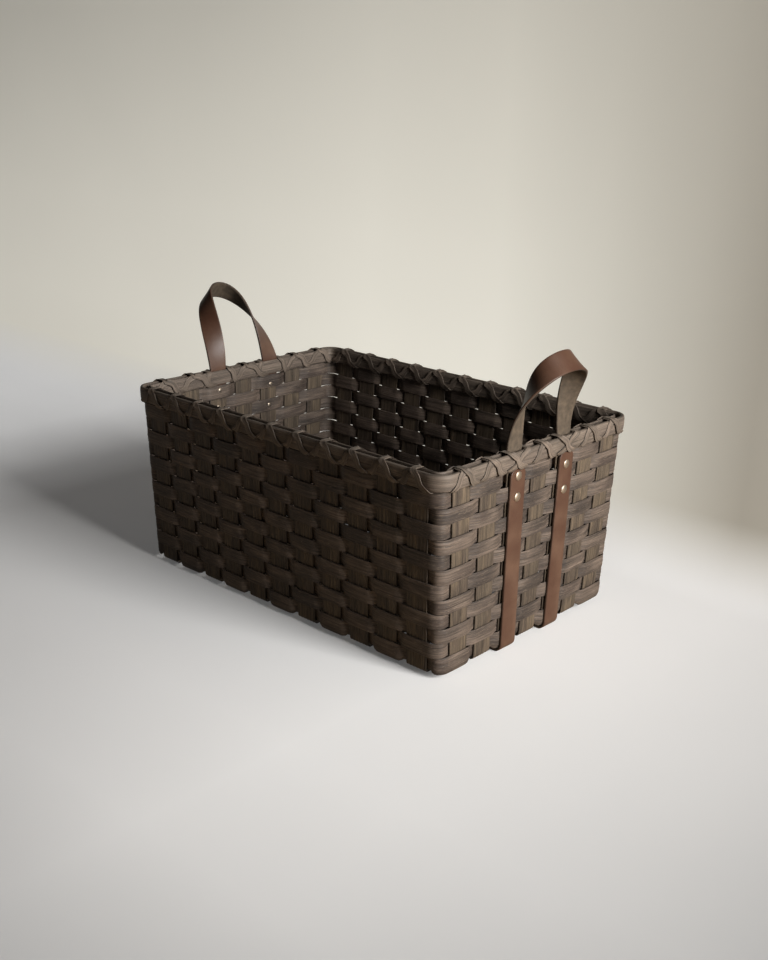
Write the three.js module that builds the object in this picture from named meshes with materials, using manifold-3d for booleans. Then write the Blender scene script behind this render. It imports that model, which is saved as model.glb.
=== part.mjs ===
// A rectangular storage basket plaited from flat wooden splints, with a
// cross-lashed rim, two leather handles and two riveted leather base straps.
// Millimetres, +Z up. X runs along the long sides and +X is the right-hand end.
// The origin is on the floor, under the middle of the whole part.

import * as THREE from 'three';
import { mergeVertices } from 'three/addons/utils/BufferGeometryUtils.js';
import Module from 'manifold-3d';

const wasm = await Module();
wasm.setup();

// Overall sizes of the basket
const RIM_LENGTH = 426;
const RIM_WIDTH = 295;
const RIM_HEIGHT = 200;
const BASE_LENGTH = 415;
const BASE_WIDTH = 269;
const CORNER_RADIUS = 12;

// Clearance between pieces that touch on the real basket
const CLEAR = 0.3;

// Stakes: the uprights, which also make the base
const CROSS_STAKES = 11;
const LONG_STAKES = 7;
const STAKE_WIDTH = 24;
const STAKE_THICK = 1.2;
const STAKE_BEND = 3.5;
const STAKE_TUCK = 2;
const LONG_WALL_MARGIN = 2;
const SHORT_WALL_MARGIN = 3;

// Weavers: the rows that go round the walls
const WEAVER_ROWS = 12;
const WEAVER_THICK = 1;
const WEAVER_GAP = 0.4;
const WEAVE_FOOT = 8;

// Rim hoops and the lashing that binds them
const HOOP_HEIGHT = 16;
const OUTER_HOOP_THICK = 3.5;
const INNER_HOOP_THICK = 2.6;
const LASH_THICK = 0.6;
const LASH_TOP_WIDTH = 8;
const LASH_FOOT_WIDTH = 6;
const LASH_TOP_SLANT = 6;
const LASH_LEG_GAP = 1;
const OVER_FOOT_SHARE = 0.54;

// Leather straps and handles
const LEATHER_THICK = 2.6;
const STRAP_WIDTH = 22;
const STRAP_END_RADIUS = 6;
const HINGE_LIFT = 2;

// The right handle's loop: its height, how far its sides draw in, how far the
// crown's round reaches, and its lean and twist. The lean and twist are angles
// in degrees, and the twist grows with a power of the height.
const RIGHT_RISE = 83;
const RIGHT_DRAW_IN = 4;
const RIGHT_CROWN_REACH = 37;
const RIGHT_SIDE_SHARE = 0.58;
const RIGHT_FOOT_LEAN_DEGREES = -2;
const RIGHT_CROWN_LEAN_DEGREES = 38;
const RIGHT_TWIST_DEGREES = 101;
const RIGHT_TWIST_POWER = 1.7;

// The left handle's loop, which flops further outwards
const LEFT_RISE = 92;
const LEFT_DRAW_IN = 5;
const LEFT_CROWN_REACH = 28.5;
const LEFT_SIDE_SHARE = 0.49;
const LEFT_FOOT_LEAN_DEGREES = 13;
const LEFT_CROWN_LEAN_DEGREES = 52.5;
const LEFT_TWIST_DEGREES = 92;
const LEFT_TWIST_POWER = 1.15;

// Rivets. Their places on the front and the rear strap are counted in rows of
// weaving, down from the top of the first row.
const FRONT_UPPER_ROW_SHARE = 0.34;
const FRONT_LOWER_ROW_SHARE = 1.75;
const REAR_UPPER_ROW_SHARE = 0.72;
const REAR_LOWER_ROW_SHARE = 2.48;
const RIVET_HEAD_RADIUS = 4.5;
const RIVET_HEAD_RISE = 1.6;
const RIVET_RIM = 0.5;
const RIVET_CAP_RADIUS = 3;
const RIVET_CAP_RISE = 0.8;
const RIVET_SHANK_RADIUS = 1.5;

// Numbers of steps in round shapes
const CORNER_STEPS = 4;
const HOOP_CORNER_STEPS = 5;
const BEND_STEPS = 3;
const STRAP_BEND_STEPS = 5;
const STRAP_END_STEPS = 2;
const LOOP_STEPS = 28;
const HINGE_ROUND_STEPS = 3;
const HINGE_ROUND_DEGREES = 80;
const RIVET_SIDES = 12;
const HOLE_SIDES = 8;

// Places through the wall, measured outwards from its middle surface
const WEAVER_OFFSET = STAKE_THICK / 2 + CLEAR + WEAVER_THICK / 2;
const WEAVE_FACE = WEAVER_OFFSET + WEAVER_THICK / 2;
const STRAP_OFFSET = WEAVE_FACE + CLEAR + LEATHER_THICK / 2;
const LEATHER_FACE = STRAP_OFFSET + LEATHER_THICK / 2;
const OUTER_HOOP_IN = STAKE_THICK / 2 + CLEAR;
const OUTER_HOOP_OUT = OUTER_HOOP_IN + OUTER_HOOP_THICK;
const RIM_LEG_OFFSET = -(STAKE_THICK / 2 + CLEAR + LEATHER_THICK / 2);
const INNER_HOOP_OUT = RIM_LEG_OFFSET - LEATHER_THICK / 2 - CLEAR;
const LEG_COVER_OFFSET = INNER_HOOP_OUT - WEAVER_THICK / 2;
const INNER_HOOP_IN = INNER_HOOP_OUT - INNER_HOOP_THICK;

// Heights
const HOOP_FOOT = RIM_HEIGHT - HOOP_HEIGHT;
const LASH_LAYER = LASH_THICK + CLEAR;
const WEAVE_TOP = HOOP_FOOT - 2 * LASH_LAYER - CLEAR;
const ROW_PITCH = (WEAVE_TOP - WEAVE_FOOT + WEAVER_GAP) / WEAVER_ROWS;
const STAKE_TOP = RIM_HEIGHT - STAKE_TUCK;
const STAKE_STEP = STAKE_THICK + CLEAR;
const CROSS_LOW_LEVEL = LEATHER_THICK + CLEAR + STAKE_THICK / 2;
const LONG_LEVEL = CROSS_LOW_LEVEL + STAKE_STEP;
const BEND_CENTRE_HEIGHT = LONG_LEVEL + STAKE_BEND;
const HINGE_HEIGHT = RIM_HEIGHT + HINGE_LIFT;
const STRAP_TOP = HOOP_FOOT - 2 * CLEAR;

// The straps and handles stand on the stakes beside the middle one, or beside
// the middle pair
const HANDLE_STEP = LONG_STAKES % 2 === 1 ? 1 : 1.5;

// The walls lean out from the base to the rim. These give the distance of each
// wall's middle surface from the basket's middle, and the stakes' pitch there.
const mix = (a, b, share) => a + (b - a) * share;
const between = (atBase, atRim) => (z) => mix(atBase, atRim, z / RIM_HEIGHT);
const halfX = between(BASE_LENGTH / 2 - WEAVE_FACE, RIM_LENGTH / 2 - OUTER_HOOP_OUT);
const halfY = between(BASE_WIDTH / 2 - WEAVE_FACE, RIM_WIDTH / 2 - OUTER_HOOP_OUT);
const fromMiddle = (index, count) => index - (count - 1) / 2;
const spread = (half, margin, count) => (z) => (
  (half(z) - CORNER_RADIUS - margin - STAKE_WIDTH / 2) / fromMiddle(count - 1, count)
);
const crossPitch = spread(halfX, LONG_WALL_MARGIN, CROSS_STAKES);
const longPitch = spread(halfY, SHORT_WALL_MARGIN, LONG_STAKES);
const legY = (z) => HANDLE_STEP * longPitch(z);
const rowHeight = (rows) => WEAVE_TOP - rows * ROW_PITCH;

// The four walls in order, anticlockwise from above
const LONG_WALL = { half: halfY, pitch: crossPitch, count: CROSS_STAKES, hasLegs: false };
const SHORT_WALL = { half: halfX, pitch: longPitch, count: LONG_STAKES, hasLegs: true };
const SIDES = [
  { name: 'front', out: [0, -1], along: [1, 0], ...LONG_WALL },
  { name: 'right', out: [1, 0], along: [0, 1], ...SHORT_WALL },
  { name: 'rear', out: [0, 1], along: [-1, 0], ...LONG_WALL },
  { name: 'left', out: [-1, 0], along: [0, -1], ...SHORT_WALL },
];

function sidePoint(side, outward, onward, z) {
  return new THREE.Vector3(
    side.out[0] * outward + side.along[0] * onward,
    side.out[1] * outward + side.along[1] * onward,
    z,
  );
}

function wallPoint(side, across, offset, z) {
  return sidePoint(side, side.half(z) + offset, across, z);
}

function cornerPoint(side, next, angle, offset, z) {
  const radius = CORNER_RADIUS + offset;
  const outward = side.half(z) - CORNER_RADIUS + radius * Math.cos(angle);
  const onward = next.half(z) - CORNER_RADIUS + radius * Math.sin(angle);
  return sidePoint(side, outward, onward, z);
}

// A number of equal steps from 0 to 1
function steps(count) {
  return Array.from({ length: count + 1 }, (_, i) => i / count);
}

function signedVolume(positions, index) {
  const [a, b, c] = [new THREE.Vector3(), new THREE.Vector3(), new THREE.Vector3()];
  let volume = 0;
  for (let i = 0; i < index.length; i += 3) {
    a.fromArray(positions, index[i] * 3);
    b.fromArray(positions, index[i + 1] * 3);
    c.fromArray(positions, index[i + 2] * 3);
    volume += a.dot(b.cross(c));
  }
  return volume;
}

// A solid lofted through four-cornered sections, either closed on itself or
// with flat ends, and with its faces pointing outwards
function loft(sections, closed) {
  const positions = sections.flat().flatMap((p) => [p.x, p.y, p.z]);
  const index = [];
  const count = sections.length;
  const spans = closed ? count : count - 1;
  for (let s = 0; s < spans; s += 1) {
    const a = s * 4;
    const b = ((s + 1) % count) * 4;
    for (let c = 0; c < 4; c += 1) {
      const d = (c + 1) % 4;
      index.push(a + c, a + d, b + d, a + c, b + d, b + c);
    }
  }
  if (!closed) {
    const last = (count - 1) * 4;
    index.push(0, 2, 1, 0, 3, 2);
    index.push(last, last + 1, last + 2, last, last + 2, last + 3);
  }
  if (signedVolume(positions, index) < 0) index.reverse();
  const geometry = new THREE.BufferGeometry();
  geometry.setAttribute('position', new THREE.Float32BufferAttribute(positions, 3));
  geometry.setIndex(index);
  return geometry;
}

function toSolid(geometry) {
  const bare = geometry.clone();
  bare.deleteAttribute('normal');
  bare.deleteAttribute('uv');
  const merged = mergeVertices(bare);
  return new wasm.Manifold(new wasm.Mesh({
    numProp: 3,
    vertProperties: new Float32Array(merged.attributes.position.array),
    triVerts: new Uint32Array(merged.index.array),
  }));
}

function toGeometry(solid) {
  const mesh = solid.getMesh();
  const geometry = new THREE.BufferGeometry();
  geometry.setAttribute('position', new THREE.Float32BufferAttribute(mesh.vertProperties, 3));
  geometry.setIndex(new THREE.Uint32BufferAttribute(mesh.triVerts, 1));
  return geometry;
}

function cut(geometry, tools) {
  return toGeometry(tools.reduce((solid, tool) => solid.subtract(tool), toSolid(geometry)));
}

// Materials
function finish(color, roughness, metalness = 0) {
  return new THREE.MeshStandardMaterial({ color, roughness, metalness });
}

const stakeSplint = finish('#54463b', 0.72);
const weaverSplint = finish('#5f5045', 0.68);
const hoopSplint = finish('#6a5a4e', 0.66);
const lashSplint = finish('#7b6a5d', 0.66);
const leather = finish('#7a5546', 0.55);
const brass = finish('#c9b07e', 0.3, 1);

const basket = new THREE.Group();

function add(name, geometry, material) {
  geometry.computeVertexNormals();
  const mesh = new THREE.Mesh(geometry, material);
  mesh.name = name;
  basket.add(mesh);
}

// Sections of a strip that follows a path of { v, z, width } points drawn in a
// vertical plane, mitred at each bend. toWorld turns v, z and a place across
// the strip into a point.
function stripSections(path, thick, toWorld) {
  return path.map(({ v, z, width }, i) => {
    const before = path[Math.max(i - 1, 0)];
    const after = path[Math.min(i + 1, path.length - 1)];
    const into = new THREE.Vector2(v - before.v, z - before.z).normalize();
    const onto = new THREE.Vector2(after.v - v, after.z - z).normalize();
    const mean = into.clone().add(onto).normalize();
    const half = thick / 2 / mean.dot(i > 0 ? into : onto);
    const [dv, dz] = [-mean.y * half, mean.x * half];
    return [
      toWorld(v + dv, z + dz, -width / 2),
      toWorld(v + dv, z + dz, width / 2),
      toWorld(v - dv, z - dz, width / 2),
      toWorld(v - dv, z - dz, -width / 2),
    ];
  });
}

// The bend from the base up to a wall, about the centre of the stakes' bend
function bend(half, radiusAcross, radiusDown, count, width) {
  const centre = half(BEND_CENTRE_HEIGHT) - STAKE_BEND;
  return steps(count).map((share) => {
    const angle = share * (Math.PI / 2);
    return {
      v: centre + radiusAcross * Math.sin(angle),
      z: BEND_CENTRE_HEIGHT - radiusDown * Math.cos(angle),
      width,
    };
  });
}

// A U-shaped path: down one wall, across the floor points and up the other wall
function mirrored(rise, floor = []) {
  const fall = rise.map((point) => ({ ...point, v: -point.v })).reverse();
  return [...fall, ...floor, ...rise];
}

// How a strap rounds off: distances from its end, and the widths there
function roundedEnd() {
  return steps(STRAP_END_STEPS).map((share) => {
    const angle = share * (Math.PI / 2);
    return {
      run: STRAP_END_RADIUS * (1 - Math.cos(angle)),
      width: STRAP_WIDTH - 2 * STRAP_END_RADIUS * (1 - Math.sin(angle)),
    };
  });
}

function stakeRise(half) {
  const rise = bend(half, STAKE_BEND, STAKE_BEND, BEND_STEPS, STAKE_WIDTH);
  rise.push({ v: half(STAKE_TOP), z: STAKE_TOP, width: STAKE_WIDTH });
  return rise;
}

// Stakes that cross the base from long side to long side. They pass over one
// long stake and under the next.
function crossStake(index) {
  const step = fromMiddle(index, CROSS_STAKES);
  const floor = [];
  for (let m = 0; m < LONG_STAKES; m += 1) {
    const centre = fromMiddle(m, LONG_STAKES) * longPitch(0);
    const z = LONG_LEVEL + ((index + m) % 2 === 0 ? STAKE_STEP : -STAKE_STEP);
    const reach = STAKE_WIDTH / 2 + CLEAR;
    floor.push({ v: centre - reach, z, width: STAKE_WIDTH });
    floor.push({ v: centre + reach, z, width: STAKE_WIDTH });
  }
  const place = (v, z, across) => new THREE.Vector3(step * crossPitch(z) + across, v, z);
  return loft(stripSections(mirrored(stakeRise(halfY), floor), STAKE_THICK, place), false);
}

// Stakes that run the length of the base and rise at both ends
function longStake(index) {
  const step = fromMiddle(index, LONG_STAKES);
  const place = (v, z, across) => new THREE.Vector3(v, step * longPitch(z) + across, z);
  return loft(stripSections(mirrored(stakeRise(halfX)), STAKE_THICK, place), false);
}

// Whether a stake of a side stands behind a base strap
function isAtStrap(side, j) {
  return side.hasLegs && Math.abs(fromMiddle(j, side.count)) === HANDLE_STEP;
}

// One row of weaving: a closed ring that passes outside every second stake and
// outside all four corners. The first row passes inside the handles' legs, too.
// Each station gives a point for a depth and height.
function weaverRow(row) {
  const top = rowHeight(row - 1);
  const foot = rowHeight(row) + WEAVER_GAP;
  const offsetAt = (stake) => ((stake + row) % 2 === 1 ? WEAVER_OFFSET : -WEAVER_OFFSET);
  const coversLeg = (side, j) => row === 1 && isAtStrap(side, j);
  const stations = [];
  let passed = 0;
  SIDES.forEach((side, s) => {
    const next = SIDES[(s + 1) % SIDES.length];
    for (let j = 0; j < side.count; j += 1) {
      const here = coversLeg(side, j) ? LEG_COVER_OFFSET : offsetAt(passed);
      for (const reach of [-STAKE_WIDTH / 2 - CLEAR, STAKE_WIDTH / 2 + CLEAR]) {
        const across = (z) => fromMiddle(j, side.count) * side.pitch(z) + reach;
        stations.push((depth, z) => wallPoint(side, across(z), here + depth, z));
      }
      passed += 1;
    }
    const ends = { 0: offsetAt(passed - 1), 1: offsetAt(passed) };
    steps(CORNER_STEPS).forEach((share) => {
      const here = ends[share] ?? WEAVER_OFFSET;
      const angle = share * (Math.PI / 2);
      stations.push((depth, z) => cornerPoint(side, next, angle, here + depth, z));
    });
  });
  const half = WEAVER_THICK / 2;
  const sections = stations.map((at) => [
    at(-half, foot),
    at(half, foot),
    at(half, top),
    at(-half, top),
  ]);
  return loft(sections, true);
}

// A rim hoop between two offsets from the wall's middle surface
function rimHoop(inside, outside) {
  const sections = SIDES.flatMap((side, s) => (
    steps(HOOP_CORNER_STEPS).map((share) => {
      const next = SIDES[(s + 1) % SIDES.length];
      const at = (offset, z) => cornerPoint(side, next, share * (Math.PI / 2), offset, z);
      return [
        at(inside, HOOP_FOOT),
        at(outside, HOOP_FOOT),
        at(outside, RIM_HEIGHT),
        at(inside, RIM_HEIGHT),
      ];
    })
  ));
  return loft(sections, true);
}

// One strand of the lashing along one side. It comes over the rim at each
// stake, slants down the outside to the space beside the stake, passes under
// both hoops and climbs the inside to the next stake. It ends under the outer
// hoop. The second strand runs the other way and lies over the first. At a
// handle leg the strand comes over the rim beside the leg. Its feet stand a
// share of the stakes' pitch away from the stake, or close beside the stake.
function lashing(side, { direction, layer, footShare }) {
  const lift = CLEAR + layer * LASH_LAYER;
  const pitch = side.pitch(RIM_HEIGHT);
  const footPitch = side.pitch(HOOP_FOOT);
  const sections = [];
  const fold = (across, width, level, face, turn) => {
    const half = direction * width / 2;
    const at = (reach, edge) => (
      wallPoint(side, direction * across + edge, face + turn.out * reach, level + turn.up * reach)
    );
    sections.push([
      at(lift, -half),
      at(lift, half),
      at(lift + LASH_THICK, half),
      at(lift + LASH_THICK, -half),
    ]);
  };
  for (let j = 0; j < side.count; j += 1) {
    const step = fromMiddle(j, side.count);
    const slant = LASH_TOP_SLANT / 2;
    const besideLeg = STRAP_WIDTH / 2 + LASH_LEG_GAP + LASH_TOP_WIDTH / 2 + slant;
    const over = step * pitch - (isAtStrap(side, j) ? besideLeg : 0);
    fold(over - slant, LASH_TOP_WIDTH, RIM_HEIGHT, INNER_HOOP_IN, { out: -1, up: 1 });
    fold(over + slant, LASH_TOP_WIDTH, RIM_HEIGHT, OUTER_HOOP_OUT, { out: 1, up: 1 });
    const isLast = j === side.count - 1;
    const besideStake = (STAKE_WIDTH + LASH_FOOT_WIDTH) / 2 + CLEAR;
    const beside = isLast ? besideStake : Math.max(besideStake, footShare * footPitch);
    const foot = step * footPitch + beside;
    const end = isLast ? { face: OUTER_HOOP_IN, out: 1 } : { face: INNER_HOOP_IN, out: -1 };
    fold(foot, LASH_FOOT_WIDTH, HOOP_FOOT, OUTER_HOOP_OUT, { out: 1, up: -1 });
    fold(foot, LASH_FOOT_WIDTH, HOOP_FOOT, end.face, { out: end.out, up: -1 });
  }
  return loft(sections, false);
}

// A base strap: up one end of the basket, under the whole base and up the
// other end, lying on the outside of the weave
function baseStrap(direction) {
  const across = STAKE_BEND + STRAP_OFFSET;
  const down = BEND_CENTRE_HEIGHT - LEATHER_THICK / 2;
  const rise = bend(halfX, across, down, STRAP_BEND_STEPS, STRAP_WIDTH);
  roundedEnd().reverse().forEach(({ run, width }) => {
    const z = STRAP_TOP - run;
    rise.push({ v: halfX(z) + STRAP_OFFSET, z, width });
  });
  const place = (v, z, y) => new THREE.Vector3(v, direction * legY(z) + y, z);
  return loft(stripSections(mirrored(rise), LEATHER_THICK, place), false);
}

// The part of a handle leg below the line where the leather folds. From a
// rounded end behind the first row of weaving it climbs straight up between the
// stakes and the inner hoop.
function handleLeg(end, direction) {
  const foot = rowHeight(1);
  const path = roundedEnd().map(({ run, width }) => (
    { v: halfX(foot + run) + RIM_LEG_OFFSET, z: foot + run, width }
  ));
  const top = HINGE_HEIGHT - LEATHER_THICK / 2 - CLEAR;
  path.push({ v: halfX(HINGE_HEIGHT) + RIM_LEG_OFFSET, z: top, width: STRAP_WIDTH });
  const place = (v, z, y) => new THREE.Vector3(end * v, direction * legY(z) + y, z);
  return loft(stripSections(path, LEATHER_THICK, place), false);
}

// The middle line of a handle loop, from its front foot over the crown to its
// rear foot. It is drawn in a plane that leans outwards more and more.
function loopLine(loop) {
  const span = legY(HINGE_HEIGHT);
  const side = new THREE.CubicBezierCurve(
    new THREE.Vector2(span, 0),
    new THREE.Vector2(span - loop.drawIn, loop.sideShare * loop.rise),
    new THREE.Vector2(loop.crownReach, loop.rise),
    new THREE.Vector2(0, loop.rise),
  );
  return steps(LOOP_STEPS).map((share) => {
    const toward = share <= 0.5 ? -1 : 1;
    const flat = side.getPoint(1 - Math.abs(1 - 2 * share));
    const rise = flat.y / loop.rise;
    const lean = THREE.MathUtils.degToRad(mix(loop.footLean, loop.crownLean, rise));
    const chord = (THREE.MathUtils.degToRad(loop.footLean) + lean) / 2;
    const at = new THREE.Vector3(
      halfX(HINGE_HEIGHT) + RIM_LEG_OFFSET + flat.y * Math.sin(chord),
      toward * flat.x,
      HINGE_HEIGHT + flat.y * Math.cos(chord),
    );
    return { at, lean, twist: THREE.MathUtils.degToRad(loop.twist) * rise ** loop.twistPower };
  });
}

// The part of a handle above the rim. The strap leaves the rim flat against
// the wall, and each side of the loop twists so that the crown lies across the
// hand. It ends in half rounds about the line where the leather folds.
function handleLoop(end, loop) {
  const line = loopLine(loop);
  const frames = line.map(({ at, lean, twist }, i) => {
    const before = line[Math.max(i - 1, 0)].at;
    const after = line[Math.min(i + 1, LOOP_STEPS)].at;
    const forward = after.clone().sub(before);
    if (i === 0 || i === LOOP_STEPS) forward.y = 0;
    forward.normalize();
    const outward = new THREE.Vector3(Math.cos(lean), 0, -Math.sin(lean));
    outward.addScaledVector(forward, -outward.dot(forward)).normalize();
    const away = outward.clone().cross(forward).normalize();
    const width = away.clone().multiplyScalar(Math.cos(twist));
    width.addScaledVector(outward, Math.sin(twist));
    return { at, width, forward, grain: width.clone().cross(forward) };
  });
  const section = ({ at, width, grain }, thick) => {
    const corner = (across, through) => {
      const p = at.clone().addScaledVector(width, across).addScaledVector(grain, through);
      return new THREE.Vector3(end * p.x, p.y, p.z);
    };
    const [w, t] = [STRAP_WIDTH / 2, thick / 2];
    return [corner(-w, -t), corner(w, -t), corner(w, t), corner(-w, t)];
  };
  const rounds = (frame, sign) => steps(HINGE_ROUND_STEPS).slice(1).map((share) => {
    const angle = THREE.MathUtils.degToRad(HINGE_ROUND_DEGREES) * share;
    const run = sign * LEATHER_THICK / 2 * Math.sin(angle);
    const at = frame.at.clone().addScaledVector(frame.forward, run);
    return section({ ...frame, at }, LEATHER_THICK * Math.cos(angle));
  });
  const sections = [
    ...rounds(frames[0], -1).reverse(),
    ...frames.map((frame) => section(frame, LEATHER_THICK)),
    ...rounds(frames[LOOP_STEPS], 1),
  ];
  return loft(sections, false);
}

// The line of a rivet: square to the wall, through the strap, the weave and the
// stake. The upper rivets hold the handles' legs, too.
function rivetLine(end, direction, z) {
  const slope = (halfX(RIM_HEIGHT) - halfX(0)) / RIM_HEIGHT;
  const outward = new THREE.Vector3(end, 0, -slope).normalize();
  const turn = new THREE.Quaternion().setFromUnitVectors(new THREE.Vector3(0, 1, 0), outward);
  const centre = new THREE.Vector3(end * halfX(z), direction * legY(z), z);
  return (geometry) => toSolid(geometry.applyQuaternion(turn).translate(...centre.toArray()));
}

function rivetHole() {
  const radius = RIVET_SHANK_RADIUS + CLEAR;
  const length = 2 * (LEATHER_FACE + RIVET_HEAD_RISE);
  return new THREE.CylinderGeometry(radius, radius, length, HOLE_SIDES);
}

// A tubular rivet: a domed head outside, a smaller and flatter cap inside
function rivet(capSeat) {
  const seat = LEATHER_FACE + CLEAR;
  const profile = [
    [0, -capSeat - RIVET_CAP_RISE],
    [RIVET_CAP_RADIUS - RIVET_RIM, -capSeat - RIVET_CAP_RISE + RIVET_RIM / 2],
    [RIVET_CAP_RADIUS, -capSeat],
    [RIVET_SHANK_RADIUS, -capSeat],
    [RIVET_SHANK_RADIUS, seat],
    [RIVET_HEAD_RADIUS, seat],
    [RIVET_HEAD_RADIUS - RIVET_RIM, seat + RIVET_RIM],
    [RIVET_HEAD_RADIUS / 2, seat + RIVET_HEAD_RISE - RIVET_RIM / 2],
    [0, seat + RIVET_HEAD_RISE],
  ];
  return new THREE.LatheGeometry(profile.map(([r, y]) => new THREE.Vector2(r, y)), RIVET_SIDES);
}

// The straps, the ends with their handles, and the rivets and their holes. An
// upper rivet's cap sits on the first row, where it covers the leg. The lower
// ones sit on the stake in front and on the third row at the rear.
const UPPER_CAP_SEAT = WEAVER_THICK / 2 + CLEAR - LEG_COVER_OFFSET;
const STRAPS = [
  {
    name: 'front',
    direction: -1,
    upper: { z: rowHeight(FRONT_UPPER_ROW_SHARE), capSeat: UPPER_CAP_SEAT },
    lower: { z: rowHeight(FRONT_LOWER_ROW_SHARE), capSeat: STAKE_THICK / 2 + CLEAR },
  },
  {
    name: 'rear',
    direction: 1,
    upper: { z: rowHeight(REAR_UPPER_ROW_SHARE), capSeat: UPPER_CAP_SEAT },
    lower: { z: rowHeight(REAR_LOWER_ROW_SHARE), capSeat: WEAVE_FACE + CLEAR },
  },
];
const RIGHT_LOOP = {
  rise: RIGHT_RISE,
  drawIn: RIGHT_DRAW_IN,
  crownReach: RIGHT_CROWN_REACH,
  sideShare: RIGHT_SIDE_SHARE,
  footLean: RIGHT_FOOT_LEAN_DEGREES,
  crownLean: RIGHT_CROWN_LEAN_DEGREES,
  twist: RIGHT_TWIST_DEGREES,
  twistPower: RIGHT_TWIST_POWER,
};
const LEFT_LOOP = {
  rise: LEFT_RISE,
  drawIn: LEFT_DRAW_IN,
  crownReach: LEFT_CROWN_REACH,
  sideShare: LEFT_SIDE_SHARE,
  footLean: LEFT_FOOT_LEAN_DEGREES,
  crownLean: LEFT_CROWN_LEAN_DEGREES,
  twist: LEFT_TWIST_DEGREES,
  twistPower: LEFT_TWIST_POWER,
};
const ENDS = [
  { name: 'right', end: 1, loop: RIGHT_LOOP },
  { name: 'left', end: -1, loop: LEFT_LOOP },
];
const rivets = ENDS.flatMap(({ name, end }) => STRAPS.flatMap((strap) => (
  ['upper', 'lower'].map((place) => {
    const { z, capSeat } = strap[place];
    const seat = rivetLine(end, strap.direction, z);
    const solid = seat(rivet(capSeat));
    const hole = seat(rivetHole());
    return { name: `rivet_${name}_${strap.name}_${place}`, end, strap, place, z, solid, hole };
  })
)));
const holesIn = (test) => rivets.filter(test).map(({ hole }) => hole);

// Base and uprights
for (let k = 0; k < CROSS_STAKES; k += 1) {
  add(`cross_stake_${k + 1}`, crossStake(k), stakeSplint);
}
for (let m = 0; m < LONG_STAKES; m += 1) {
  const step = fromMiddle(m, LONG_STAKES);
  const holes = holesIn(({ strap }) => strap.direction * HANDLE_STEP === step);
  add(`long_stake_${m + 1}`, cut(longStake(m), holes), stakeSplint);
}

// Rows of weaving, the first one under the rim
for (let row = 1; row <= WEAVER_ROWS; row += 1) {
  const middle = rowHeight(row - 0.5);
  const near = holesIn(({ z }) => Math.abs(z - middle) < ROW_PITCH);
  add(`weaver_row_${row}`, cut(weaverRow(row), near), weaverSplint);
}

// Rim
add('outer_rim_hoop', rimHoop(OUTER_HOOP_IN, OUTER_HOOP_OUT), hoopSplint);
add('inner_rim_hoop', rimHoop(INNER_HOOP_IN, INNER_HOOP_OUT), hoopSplint);
const UNDER = { direction: -1, layer: 0, footShare: 0 };
const OVER = { direction: 1, layer: 1, footShare: OVER_FOOT_SHARE };
SIDES.forEach((side) => {
  add(`lashing_${side.name}_under`, lashing(side, UNDER), lashSplint);
  add(`lashing_${side.name}_over`, lashing(side, OVER), lashSplint);
});

// Leather and rivets
STRAPS.forEach((strap) => {
  const holes = holesIn((r) => r.strap === strap);
  add(`base_strap_${strap.name}`, cut(baseStrap(strap.direction), holes), leather);
});
ENDS.forEach(({ name, end, loop }) => {
  add(`${name}_handle_loop`, handleLoop(end, loop), leather);
  STRAPS.forEach((strap) => {
    const holes = holesIn((r) => r.end === end && r.strap === strap && r.place === 'upper');
    const leg = handleLeg(end, strap.direction);
    add(`${name}_handle_leg_${strap.name}`, cut(leg, holes), leather);
  });
});
rivets.forEach(({ name, solid }) => add(name, toGeometry(solid), brass));

// Put the middle of the whole part over the origin: the left handle reaches
// further out than the right one
const overall = new THREE.Box3().setFromObject(basket);
basket.position.x = -(overall.min.x + overall.max.x) / 2;

export default basket;
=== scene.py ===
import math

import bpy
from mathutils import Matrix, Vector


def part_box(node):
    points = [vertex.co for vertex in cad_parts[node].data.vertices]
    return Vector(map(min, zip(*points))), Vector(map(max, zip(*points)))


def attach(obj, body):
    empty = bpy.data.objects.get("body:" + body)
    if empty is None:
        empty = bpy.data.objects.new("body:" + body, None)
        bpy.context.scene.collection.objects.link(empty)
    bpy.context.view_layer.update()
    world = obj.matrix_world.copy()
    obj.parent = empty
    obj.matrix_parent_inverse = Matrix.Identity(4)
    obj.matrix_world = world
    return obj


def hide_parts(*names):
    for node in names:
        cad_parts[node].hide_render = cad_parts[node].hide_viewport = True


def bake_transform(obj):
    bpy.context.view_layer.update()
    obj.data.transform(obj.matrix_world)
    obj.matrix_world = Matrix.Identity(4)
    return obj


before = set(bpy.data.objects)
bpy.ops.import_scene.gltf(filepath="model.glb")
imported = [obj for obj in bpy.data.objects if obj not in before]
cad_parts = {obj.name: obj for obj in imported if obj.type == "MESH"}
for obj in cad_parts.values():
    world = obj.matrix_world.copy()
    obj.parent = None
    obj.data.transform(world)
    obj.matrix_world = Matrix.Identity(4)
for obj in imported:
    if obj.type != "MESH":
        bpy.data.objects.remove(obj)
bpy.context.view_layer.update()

# A rectangular storage basket plaited from flat stained splints, with a
# cross-lashed rim, two leather handles and two riveted leather base straps.
# Lengths are in millimetres and become metres where a mesh is made.

MM = 0.001
UP = Vector((0, 0, 1))

# Sizes of the basket, as the frame has them
RIM_LENGTH = 426
RIM_WIDTH = 295
RIM_HEIGHT = 200
BASE_LENGTH = 415
BASE_WIDTH = 269
CORNER_RADIUS = 12
CLEAR = 0.3

# Stakes, the uprights that also make the base
CROSS_STAKES = 11
LONG_STAKES = 7
STAKE_WIDTH = 24
STAKE_THICK = 1.2
STAKE_BEND = 3.5
STAKE_TUCK = 2
LONG_WALL_MARGIN = 2
SHORT_WALL_MARGIN = 3
STAKE_SWAY = 0.2

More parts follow.
